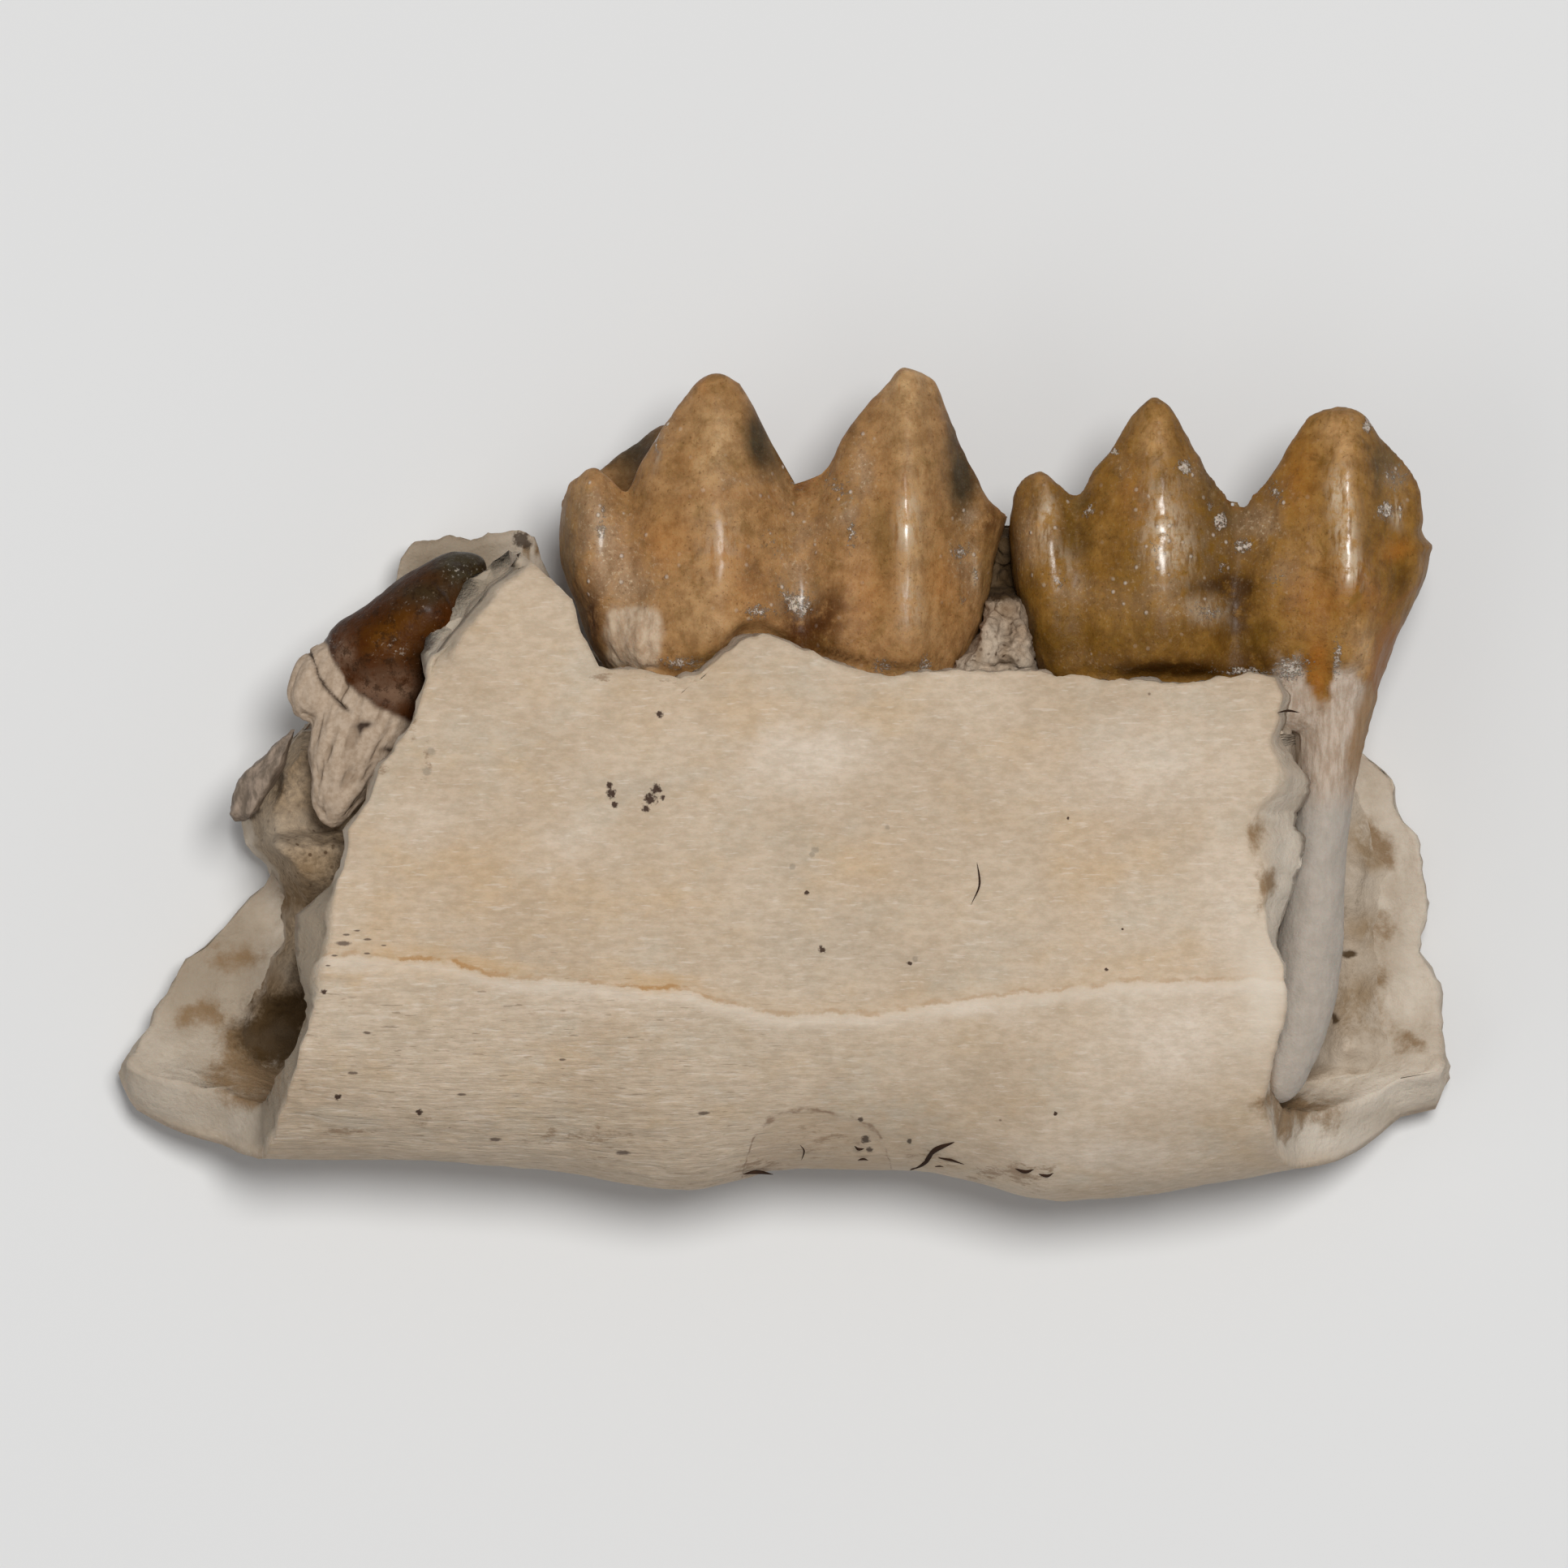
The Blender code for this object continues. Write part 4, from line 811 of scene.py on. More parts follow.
def crown_relief(x, y, z, normals):
    """Enamel: faint ripples along the ribs, shallow dents and fine unevenness."""
    ripples = 0.016 * rough(x, y * 0.35, z, 0.30, 3, 51)
    dents = 0.030 * noise(x, y, z, 0.60, 53) + 0.012 * rough(x, y, z, 0.22, 3, 54)
    return ripples + dents


# Tints on the molars: x, y, width, height, strength.
MIDDLE_TINTS = {
    "pale": [
        (-1.03, 5.15, 0.34, 0.6, 0.9), (-1.2, 4.7, 0.3, 0.25, 0.5), (1.86, 5.95, 0.34, 0.32, 0.9),
        (1.9, 5.1, 0.3, 0.75, 0.7), (1.95, 3.6, 0.2, 0.8, 0.8), (-0.95, 3.9, 0.35, 0.35, 0.5),
        (-1.15, 3.0, 0.4, 0.5, 0.5), (-1.1, 2.25, 0.55, 0.3, 0.5), (-3.0, 4.35, 0.16, 0.4, 0.4),
        (2.1, 2.3, 0.3, 0.4, 0.4)],
    "warm": [
        (-1.85, 3.55, 0.5, 0.45, 0.9), (-1.25, 4.75, 0.3, 0.25, 0.7), (-0.9, 3.4, 0.4, 0.4, 0.8),
        (-0.6, 2.9, 0.45, 0.4, 0.7), (1.2, 2.8, 0.4, 0.6, 0.8), (2.3, 2.9, 0.3, 0.7, 0.8),
        (1.7, 4.3, 0.35, 0.6, 0.6), (-1.25, 5.92, 0.14, 0.12, 0.8), (-3.15, 2.9, 0.16, 0.4, 0.6)],
    "olive": [
        (-3.22, 3.7, 0.16, 0.8, 0.8), (1.45, 3.75, 0.22, 0.5, 0.7), (-1.1, 1.86, 0.5, 0.16, 0.6),
        (0.4, 2.12, 0.3, 0.14, 0.8), (-0.2, 5.05, 0.22, 0.3, 0.8), (3.05, 3.3, 0.14, 0.5, 0.6)],
    "deep": [
        (-2.82, 2.5, 0.14, 0.45, 0.9), (0.1, 2.42, 0.18, 0.35, 0.9), (0.45, 2.3, 0.4, 0.26, 0.9),
        (0.68, 2.65, 0.28, 0.28, 0.8), (-0.48, 3.18, 0.2, 0.25, 0.5), (-1.9, 5.15, 0.07, 0.3, 0.6),
        (0.95, 5.35, 0.1, 0.25, 0.5), (0.25, 4.4, 0.14, 0.12, 0.7), (3.1, 3.95, 0.12, 0.25, 0.8),
        (0.35, 1.95, 0.8, 0.16, 0.6)],
    "grey": [
        (-0.4, 5.2, 0.2, 0.4, 1.3), (-0.22, 4.8, 0.2, 0.2, 0.6), (2.66, 4.55, 0.24, 0.55, 1.2),
        (2.5, 5.3, 0.14, 0.4, 0.7), (-2.3, 4.6, 0.1, 0.25, 0.5)],
    "haze": [
        (0.35, 3.75, 0.4, 0.4, 0.6), (1.14, 4.7, 0.22, 0.5, 0.9), (-0.4, 3.0, 0.5, 0.4, 0.2),
        (-2.9, 4.2, 0.2, 0.3, 0.5), (-2.65, 3.6, 0.45, 0.6, 1.0), (-2.3, 2.9, 0.55, 0.4, 0.8),
        (0.9, 4.02, 0.18, 0.2, 0.9), (2.76, 4.0, 0.18, 0.14, 0.9), (0.15, 3.1, 0.25, 0.3, 0.6),
        (-1.8, 5.3, 0.2, 0.35, 0.5), (-0.6, 4.5, 0.6, 0.15, 0.5), (2.7, 3.3, 0.22, 0.5, 0.7)],
    "crumbs": [
        (-2.74, 3.8, 0.07, 0.12, 1.0), (-2.66, 4.1, 0.05, 0.1, 0.9), (-1.96, 5.0, 0.06, 0.14, 0.9),
        (-1.8, 5.45, 0.05, 0.08, 0.8), (0.24, 2.68, 0.2, 0.18, 1.0), (-0.36, 2.58, 0.16, 0.1, 0.9),
        (0.98, 3.7, 0.08, 0.26, 0.9), (0.1, 4.42, 0.14, 0.08, 0.9), (0.62, 4.55, 0.06, 0.08, 0.8),
        (2.67, 3.5, 0.12, 0.13, 1.0), (2.85, 3.1, 0.05, 0.16, 0.8), (2.62, 2.75, 0.05, 0.08, 0.7),
        (-1.55, 1.8, 0.4, 0.08, 0.9), (1.5, 1.76, 0.2, 0.08, 0.9), (2.1, 1.8, 0.1, 0.1, 0.9),
        (-0.15, 3.6, 0.25, 0.2, 0.5), (0.22, 2.62, 0.12, 0.1, 1.5), (-0.42, 2.62, 0.12, 0.05, 1.4),
        (-2.7, 3.78, 0.05, 0.1, 1.4), (0.8, 4.4, 0.2, 0.2, 0.5)],
    # Glossy strips on the ribs: coat gloss, and a painted highlight laid into their colour.
    "gloss_and_painted_highlight": [
        (1.85, 3.95, 0.16, 0.45, 1.2), (1.87, 2.75, 0.14, 0.45, 0.7), (-2.72, 3.8, 0.12, 0.3, 0.6),
        (2.85, 3.15, 0.07, 0.25, 0.9), (-0.95, 3.5, 0.35, 0.4, 0.35), (-1.92, 5.05, 0.08, 0.3, 0.7),
        (0.2, 2.7, 0.25, 0.2, 0.7)],
}
REAR_TINTS = {
    "pale": [
        (5.52, 5.15, 0.2, 0.45, 0.9), (5.67, 3.7, 0.26, 0.75, 0.7), (8.25, 5.25, 0.34, 0.4, 0.8),
        (8.4, 4.3, 0.24, 0.9, 0.7), (3.72, 3.7, 0.14, 0.4, 1.0), (8.0, 3.3, 0.4, 0.5, 0.3),
        (8.62, 1.95, 0.26, 0.45, 1.3), (3.85, 4.5, 0.18, 0.2, 0.4)],
    "warm": [
        (7.7, 4.6, 0.35, 0.6, 0.5), (9.15, 3.5, 0.2, 0.16, 0.9), (7.95, 1.7, 0.16, 0.4, 1.2),
        (8.0, 2.8, 0.5, 0.5, 0.6), (5.2, 4.3, 0.25, 0.5, 0.4), (8.7, 2.9, 0.3, 0.4, 0.5)],
    "olive": [
        (4.3, 3.7, 0.22, 0.45, 1.0), (3.6, 2.7, 0.16, 0.6, 0.6), (9.2, 3.15, 0.2, 0.2, 0.6),
        (6.4, 3.3, 0.45, 0.4, 0.6), (5.3, 2.2, 1.0, 0.35, 0.5), (4.1, 2.2, 0.4, 0.4, 0.7),
        (7.0, 2.2, 0.4, 0.3, 0.8), (6.3, 3.9, 0.3, 0.4, 0.5), (4.2, 4.35, 0.25, 0.2, 0.5),
        (5.2, 3.2, 0.3, 0.5, 0.4)],
    "deep": [
        (6.45, 2.98, 0.55, 0.12, 0.9), (6.75, 2.65, 0.3, 0.6, 1.0), (6.0, 1.66, 0.9, 0.14, 0.9),
        (4.42, 3.72, 0.12, 0.16, 0.7), (3.46, 2.4, 0.12, 0.8, 0.5), (7.1, 1.9, 0.4, 0.16, 0.7),
        (9.2, 2.95, 0.12, 0.2, 0.5), (5.4, 1.8, 1.2, 0.2, 0.5)],
    "grey": [
        (6.35, 4.45, 0.22, 0.35, 0.5), (9.05, 4.85, 0.2, 0.3, 0.7), (6.7, 3.95, 0.25, 0.25, 0.6),
        (4.45, 4.15, 0.14, 0.18, 0.5), (8.88, 4.6, 0.08, 0.5, 0.5)],
    "haze": [
        (7.14, 3.85, 0.3, 0.3, 1.0), (9.15, 4.6, 0.2, 0.22, 1.1), (5.6, 3.6, 0.45, 0.75, 0.6),
        (3.6, 3.6, 0.2, 0.5, 0.6), (6.6, 3.6, 0.5, 0.6, 0.4), (5.3, 2.7, 0.7, 0.3, 0.4),
        (8.98, 4.08, 0.12, 0.12, 1.0), (4.33, 2.9, 0.35, 0.28, 0.7), (6.25, 2.58, 0.36, 0.2, 1.0),
        (7.42, 3.07, 0.25, 0.3, 0.7), (5.05, 4.7, 0.18, 0.3, 0.5), (6.05, 4.6, 0.16, 0.25, 0.6),
        (7.4, 4.3, 0.25, 0.4, 0.4), (4.6, 1.85, 0.6, 0.15, 0.4), (3.95, 4.0, 0.4, 0.6, 0.3),
        (8.62, 1.9, 0.2, 0.45, 0.6)],
    "crumbs": [
        (6.5, 3.9, 0.08, 0.1, 1.3), (6.32, 4.12, 0.06, 0.08, 1.0), (6.82, 3.5, 0.09, 0.08, 1.3),
        (6.5, 3.22, 0.05, 0.09, 0.9), (5.93, 4.7, 0.07, 0.1, 1.1), (5.0, 4.95, 0.05, 0.05, 1.0),
        (4.6, 4.02, 0.07, 0.1, 1.0), (4.32, 4.28, 0.06, 0.05, 0.8), (8.7, 5.38, 0.06, 0.12, 1.3),
        (8.98, 4.12, 0.07, 0.12, 1.1), (9.15, 4.62, 0.2, 0.2, 0.6), (7.35, 4.35, 0.1, 0.18, 0.7),
        (4.1, 3.05, 0.08, 0.1, 0.8), (5.66, 3.6, 0.22, 0.6, 0.35), (6.3, 2.6, 0.26, 0.14, 0.7),
        (7.6, 1.75, 0.25, 0.22, 1.0), (6.85, 1.68, 0.45, 0.08, 1.0), (8.23, 1.87, 0.05, 0.26, 1.2),
        (7.42, 3.05, 0.14, 0.14, 0.6), (8.98, 4.1, 0.09, 0.09, 1.6), (9.2, 4.04, 0.03, 0.12, 1.6),
        (6.5, 3.92, 0.09, 0.11, 1.6), (6.82, 3.52, 0.1, 0.09, 1.6), (5.93, 4.72, 0.09, 0.1, 1.5),
        (8.72, 5.36, 0.06, 0.12, 1.6), (4.95, 4.95, 0.05, 0.05, 1.5)],
    # Glossy strips on the ribs: coat gloss, and a painted highlight laid into their colour.
    "gloss_and_painted_highlight": [
        (8.33, 4.35, 0.13, 0.35, 1.6), (8.38, 3.75, 0.14, 0.45, 1.6), (8.46, 3.2, 0.18, 0.3, 1.2),
        (5.62, 3.95, 0.28, 0.6, 0.8), (5.8, 3.45, 0.35, 0.4, 0.7), (3.88, 3.95, 0.12, 0.4, 0.9),
        (4.05, 3.3, 0.25, 0.3, 0.5), (9.15, 4.05, 0.1, 0.2, 1.0), (6.3, 2.62, 0.35, 0.2, 0.5)],
}
# Lines on the teeth: crease, edges of the enamel, cracks and the root's stained edge.
CREASE_LINE = [
    (-1.9, 4.05), (-1.7, 4.18), (-1.28, 4.32), (-0.76, 4.3), (-0.24, 4.33), (0.1, 4.4)]
ENAMEL_EDGE = [
    (-7.1, 2.6), (-6.9, 2.2), (-6.73, 1.82), (-6.5, 1.49), (-6.32, 1.28), (-6.05, 1.16), (-5.75, 1.02),
    (-5.55, 0.86), (-5.3, 0.6)]
ROOT_CRACK = [
    (-7.25, 2.12), (-7.07, 1.94), (-6.96, 1.62), (-6.8, 1.38), (-6.61, 1.17), (-6.45, 1.06)]
CROWN_CRACK = [(-5.30, 3.06), (-5.18, 2.94), (-5.06, 2.80), (-4.92, 2.56)]
STAIN_EDGE = [(-2.4, 8.85), (-1.4, 8.60), (-0.5, 8.36), (0.4, 8.30), (1.0, 8.6)]
CERVIX_LINE = [
    (7.2, 1.7), (7.45, 1.85), (7.7, 1.8), (7.85, 1.35), (8.0, 1.15), (8.14, 1.3), (8.22, 1.85),
    (8.45, 1.75), (8.75, 1.55), (9.0, 1.2)]


def mark_tints(mesh, x, y, z, tints, front):
    """Stores a molar's tints; away from its tongue side it is olive and brown."""
    for name, spots in tints.items():
        mark(mesh, name, patches(x, y, z, spots, 0.07) * front)
    cheek = 1 - front
    clouds = ramp(noise(x, y, z, 1.1, 55), -0.5, 0.6)
    mark(mesh, "back", cheek * clouds)
    mark(mesh, "shadow", cheek * bump(x, y, (-2.25, 5.05), (0.6, 0.5)))


def make_middle_molar():
    """The middle molar's crown, with a cream lump of cement on its left lobe."""
    rings, columns = 190, 230
    grid = crown_grid(MIDDLE_CREST, MIDDLE_FAR_CREST, MIDDLE_LEFT, MIDDLE_RIGHT, MIDDLE_RIBS,
                      rings, columns, LUMP_HIGH)
    mesh = mesh_of("middle_molar_piece", grid.reshape(-1, 3), crown_faces(rings, columns))
    displace(mesh, crown_relief)
    x, y, z = xyz_of(mesh)
    front = ramp(z, 2.6, 3.4)
    off_x = (x - LUMP_AT[0]) / 0.47
    off_y = (y - LUMP_AT[1]) / 0.50
    lump = 1.45 - (off_x ** 4 + off_y ** 4) ** 0.25 + 0.10 * rough(x, y, z, 0.25, 3, 57)
    from_crease = y - spline(x, CREASE_LINE)
    creased = ramp(x, -1.9, -1.5) * ramp(-x, -0.2, 0.2) * front

    def shape(x, y, z, normals):
        crusty = 0.03 * ramp(lump, 0.45, 0.75) * (1 + rough(x, y, z, 0.12, 2, 56))
        return front * crusty - 0.035 * ridge(from_crease, 0.035) * creased

    displace(mesh, shape)
    mark_tints(mesh, x, y, z, MIDDLE_TINTS, front)
    mark(mesh, "cement", ramp(lump, 0.42, 0.70) * front)
    mark(mesh, "stain", 0.6 * ridge(from_crease, 0.05) * creased)
    return piece_of("middle_molar_piece", mesh, enamel_material("amber_enamel_finish", AMBER),
                    "amber_enamel", "middle_molar")


def make_rear_molar():
    """The rear molar's crown and its long bare hind root, in one skin."""
    rings, columns = 120, 140
    grid = crown_grid(REAR_CREST, REAR_FAR_CREST, REAR_LEFT, REAR_RIGHT, REAR_RIBS,
                      rings, columns)
    mesh = fuse("rear_molar_piece", [(grid.reshape(-1, 3), crown_faces(rings, columns)),
                                     tube(HIND_ROOT, 90, 40)], 0.05)
    x, y, z = xyz_of(mesh)
    soften(mesh, (np.abs(y - NECK_Y) < NECK_REACH) & (x > NECK_FROM_X), 60)
    x, y, z = xyz_of(mesh)
    edge = spline(x, CERVIX_LINE) + 0.12 * rough(x, y, z, 0.16, 3, 63)
    below = ramp(edge - y, -0.12, 0.22) * ramp(x, 7.15, 7.4)
    smooth_root = ramp(-y, 0.1, 0.6)

    def shape(x, y, z, normals):
        streaks = 0.020 * rough(x, y * 0.2, z, 0.12, 3, 61) * (1 - 0.7 * smooth_root)
        root = streaks + 0.022 * rough(x, y, z, 0.45, 3, 62)
        thorn = 0.07 * bump(x, y, (9.66, 3.54), (0.20, 0.08)) - 0.04 * bump(
            x, y, (9.60, 3.78), (0.20, 0.10))
        return (crown_relief(x, y, z, normals) + thorn) * (1 - below) + root * below

    displace(mesh, shape)
    front = np.maximum(ramp(z, 2.6, 3.4), below)
    mark_tints(mesh, x, y, z, REAR_TINTS, front)
    mark(mesh, "bare", below)
    right_edge = ramp(x - spline(-y, STAIN_EDGE), -0.02, 0.14)
    hairline = ridge(y - 2.45 - 0.75 * (x - 8.8), 0.04) * ramp(x, 8.7, 8.9)
    mark(mesh, "stain", right_edge * ramp(y, -0.3, 0.4) * (1 - ramp(y, 2.2, 2.6))
         + 0.5 * hairline)
    return piece_of("rear_molar_piece", mesh, enamel_material("olive_enamel_finish", OLIVE),
                    "olive_enamel", "rear_molar")


# Tints on the premolar: x, y, width, height, strength.
PREMOLAR_TINTS = {
    "tip": [(-4.75, 3.3, 0.45, 0.28, 1.2), (-5.3, 2.85, 0.5, 0.2, 0.7)],
    "amber": [(-5.95, 2.15, 0.4, 0.3, 1.0), (-5.55, 2.45, 0.35, 0.3, 0.6)],
    "mauve": [(-5.8, 1.45, 0.35, 0.25, 1.0), (-6.6, 1.95, 0.16, 0.25, 0.9),
              (-6.3, 1.5, 0.25, 0.2, 0.6)],
    # Glossy tip and edges: coat gloss, and painted highlight specks laid into their colour.
    "gloss_and_painted_highlight": [(-4.8, 3.2, 0.22, 0.16, 1.3), (-5.8, 2.02, 0.25, 0.14, 0.8),
              (-5.5, 2.7, 0.3, 0.1, 0.5), (-6.8, 1.95, 0.12, 0.3, 0.8)],
}
PREMOLAR_SHADE = [(-5.38, 1.75, 0.16, 0.45, 1.2), (-4.45, 3.05, 0.16, 0.3, 0.8)]
PREMOLAR_PITS = [(-6.27, 0.9, 0.14, 0.05, 1.3), (-6.33, 0.83, 0.04, 0.1, 1.0),
                 (-5.92, 0.5, 0.1, 0.04, 1.0)]


def make_premolar():
    """The leaning premolar: dark crown, and two root stubs split by a crack."""
    mesh = fuse("premolar_piece", [tube(PREMOLAR_CROWN, 70, 60),
                                   tube(PREMOLAR_FRONT_ROOT, 40, 40),
                                   tube(PREMOLAR_BACK_ROOT, 50, 48)], 0.035)
    soften(mesh, xyz_of(mesh)[1] < STUBS_TO_Y, 25)
    x, y, z = xyz_of(mesh)
    rise = y - polyline(x, ENAMEL_EDGE) - 0.06 * rough(x, y, z, 0.3, 3, 71)
    crown = ramp(rise, -0.05, 0.08)
    split = ridge(y - polyline(x, ROOT_CRACK), 0.035) * ramp(-x, 6.42, 6.60)
    split = split * ramp(z, 3.0, 3.3)
    along = 0.37 * x + 0.93 * y
    across = 0.93 * x - 0.37 * y
    grooves = rough(across, along * 0.14, z, 0.13, 3, 72)
    tick = ridge(y - polyline(x, CROWN_CRACK), 0.02)
    tick = tick * ramp(x, -5.30, -5.22) * ramp(-x, 4.92, 4.96)

    def shape(x, y, z, normals):
        streaks = 0.035 * grooves + 0.02 * rough(x, y, z, 0.5, 2, 74)
        enamel = 0.030 + 0.012 * rough(x, y, z, 0.3, 3, 73) - 0.03 * tick
        return enamel * crown + (streaks - 0.10 * split) * (1 - crown)

    displace(mesh, shape)
    mark(mesh, "crown", crown)
    for name, spots in PREMOLAR_TINTS.items():
        mark(mesh, name, patches(x, y, z, spots))
    mark(mesh, "shade", patches(x, y, z, PREMOLAR_SHADE) + ramp(3.2 - z, 0, 0.5) * 0.5)
    pit = patches(x, y, z, PREMOLAR_PITS, 0.05)
    mark(mesh, "crack", np.maximum(split, pit) * (1 - crown) + tick * crown)
    mark(mesh, "grooves", ramp(-grooves, 0.1, 0.9))
    return piece_of("premolar_piece", mesh, premolar_material(), "dark_enamel", "premolar")


# Sediment and splinter

def wall_inside(x, y, upper):
    """Height of a wall's inner face at x, y, rounding included."""
    reach = ROUNDING_Y - border_y(x) - BORDER_THICK
    bend = np.sqrt(1 - np.clip((ROUNDING_Y - y) / reach, 0, 0.98) ** 2)
    flat_y = np.maximum(y, ROUNDING_Y)
    if upper:
        level = upper_face(x, flat_y) - upper_thickness(flat_y)
    else:
        level = lower_face(x, flat_y) + LOWER_THICK
    return BORDER_Z + (level - BORDER_Z) * bend


def fill_grids(left, right, height, base, rows, columns, slope, feathered, rag=0.05):
    """Grids of a fill's top and bottom: rows run down in y, columns from left to right.

    The bottom is base(x, y), the top is height(x, y), and towards the outline the
    thickness falls off as a quarter circle, or smoothly where the fill is feathered.
    """
    y = np.linspace(left[0][0], left[-1][0], rows)[:, None] * np.ones(columns)
    share = np.linspace(0, 1, columns)[None, :]
    start = polyline(y, left) + rag * rough(y, 0 * y, 0 * y, 0.4, 4, 81)
    x = start + (polyline(y, right) - start) * share
    low = base(x, y)
    down = np.linspace(0, 1, rows)[:, None]
    across = np.minimum(share, 1 - share)
    along = np.minimum(down, 1 - down)
    rim = slope * np.minimum(across, along * RIM_ALONG)
    round_off = ramp(rim, 0, 1) if feathered else np.sqrt(1 - (1 - np.clip(rim, 0, 1)) ** 2)
    thick = np.maximum(height(x, y) - low, FILL_LEAST)
    high = low + FILL_RIM + (thick - FILL_RIM) * round_off
    return np.stack([x, y, high], axis=2), np.stack([x, y, low], axis=2)


def buried_floor(x, y):
    """Just under the lower wall's inner face, so that no seam shows."""
    return wall_inside(x, y, False) - 0.15


# Heights of the fills' surfaces in millimetres, and where they change.
HOLLOW_Z = 1.62
SHELF_RISE = 1.93
SHELF_Y = (-2.2, -1.3)
ROOT_DROP = 1.0
ROOT_DROP_Y = (-0.95, -0.65)
FRONT_LUMP = 0.12
FRONT_PITS = [(-7.62, -2.17, 0.1, 0.24, 0.5), (-7.62, -3.75, 0.5, 0.5, 0.38)]
FRONT_FALL = 0.3
FRONT_FALL_X = (7.4, 8.4)
FRONT_HIDDEN_X = (-5.9, -4.9)
THIN_Z = 1.3
RIDGE_RISE = 1.3
RIDGE_X = (-8.5, -7.7)
REAR_LUMP = 0.12
REAR_KNOBS = [(8.75, -4.25, 0.7, 0.16, 0.45), (8.75, -1.7, 0.3, 0.5, 0.2)]
SHOULDER_RISE = 1.75
SHOULDER_X = (-7.85, -7.40)
SHOULDER_Y = (-0.3, 0.3)
REAR_HIDDEN_X = (-7.1, -6.3)
CLUMP_Z = 4.40
CLUMP_FLOOR = 1.9
CLUMP_LUMP = 0.16
SPLINTER_Z = 3.05
SPLINTER_FLOOR = 2.80
SPLINTER_RISE = 0.25
SPLINTER_RIB = 0.16
FILL_LEAST = 0.12
FILL_RIM = 0.02
RIM_ALONG = 1.3


def front_height(x, y):
    """Front fill: a lumpy shelf under the premolar's root, falling to a dark hollow."""
    shelf = HOLLOW_Z + SHELF_RISE * ramp(y, *SHELF_Y) - ROOT_DROP * ramp(y, *ROOT_DROP_Y)
    lumps = FRONT_LUMP * np.sin(5.1 * x + 1.3 * y) * np.cos(4.3 * y)
    pits = patches(x, y, 0 * x, FRONT_PITS, 0)
    fall = FRONT_FALL * ramp(-x, *FRONT_FALL_X)
    ceiling = wall_inside(x, y, True) - CONTACT_GAP
    open_part = np.minimum(shelf + lumps - pits - fall, ceiling)
    return open_part + (ceiling - open_part) * ramp(x, *FRONT_HIDDEN_X)


def rear_height(x, y):
    """Rear fill: highest under the bare root, thinning out to the right, with a low ridge
    along its foot."""
    high = THIN_Z + RIDGE_RISE * ramp(-x, *RIDGE_X) + patches(x, y, 0 * x, REAR_KNOBS, 0)
    lumps = REAR_LUMP * np.sin(4.7 * x) * np.cos(3.9 * y)
    shoulder = SHOULDER_RISE * ramp(-x, *SHOULDER_X) * ramp(y, *SHOULDER_Y)
    open_part = high + lumps + shoulder
    ceiling = wall_inside(x, y, True) - CONTACT_GAP
    return open_part + (ceiling - open_part) * ramp(-x, *REAR_HIDDEN_X)


def gap_height(x, y):
    """Clump between the molars."""
    lumps = CLUMP_LUMP * np.sin(9 * x) * np.cos(8 * y)
    fall = 0.5 * ramp(y, 1.9, 2.7) + 1.3 * ramp(y, 2.65, 3.0)
    return between_walls(x, y, CLUMP_Z - fall + lumps)


def clump_floor(x, y):
    """Flat underside of the clump."""
    return CLUMP_FLOOR + 0 * x


def splinter_height(x, y):
    """Bone splinter: a thin leaf, thicker along its right edge."""
    inner = ramp(x - polyline(y, SPLINTER_LEFT), 0.10, 0.30)
    return SPLINTER_Z + SPLINTER_RISE * ramp(y, -0.6, 0.8) + SPLINTER_RIB * inner


def splinter_floor(x, y):
    """Flat underside of the splinter."""
    return SPLINTER_FLOOR + 0 * x


def grains(x, y, z, normals):
    """Sediment surface: soft lumps with fine grains."""
    return 0.05 * rough(x, y, z, 0.45, 3, 91) + 0.022 * rough(x, y, z, 0.13, 2, 92)


def soft_lumps(x, y, z, normals):
    """Smoother sediment surface."""
    return 0.055 * rough(x, y, z, 0.45, 3, 91) + 0.008 * rough(x, y, z, 0.13, 2, 92)


def crumble(x, y, z, normals):
    """Surface of a crumbly clump."""
    return 0.07 * rough(x, y, z, 0.30, 3, 93) + 0.035 * rough(x, y, z, 0.10, 2, 94)


def flake(x, y, z, normals):
    """Nearly smooth surface of a bone flake."""
    return 0.02 * rough(x, y, z, 0.2, 3, 95)


# Zones of the sediments: x, y, width, height, strength.
FRONT_ZONES = {
    "pale": [
        (-7.65, -0.75, 0.28, 0.4, 0.5), (-7.6, -2.78, 0.3, 0.24, 0.5), (-7.1, -0.55, 0.35, 0.28, 0.5),
        (-7.45, -1.95, 0.1, 0.2, 0.5), (-7.45, -4.45, 0.35, 0.25, 0.5), (-6.95, 0.35, 0.2, 0.3, 0.4)],
    "brown": [
        (-7.34, -1.62, 0.2, 0.18, 1.0), (-7.05, -1.25, 0.35, 0.3, 0.8), (-8.15, -2.6, 0.35, 0.22, 1.0),
        (-7.85, -4.4, 0.65, 0.5, 1.4), (-7.95, -3.0, 0.45, 0.4, 1.0), (-7.1, -1.8, 0.35, 0.1, 0.8),
        (-7.5, -1.9, 0.2, 0.2, 0.8)],
    "dark": [
        (-7.74, -3.8, 0.6, 0.44, 1.25), (-7.45, -3.32, 0.34, 0.28, 0.9),
        (-7.62, -2.17, 0.12, 0.28, 1.3), (-8.25, -3.82, 0.18, 0.16, 0.7), (-7.6, 0.1, 0.1, 0.4, 1.0),
        (-7.95, -0.42, 0.14, 0.1, 0.9), (-8.18, -4.52, 0.05, 0.05, 1.2),
        (-8.05, -3.02, 0.035, 0.24, 1.3)],
    "speckled": [
        (-6.9, -1.1, 0.5, 0.5, 1.0), (-7.5, -0.9, 0.6, 0.8, 0.6), (-7.6, -4.2, 0.5, 0.5, 0.6)],
}
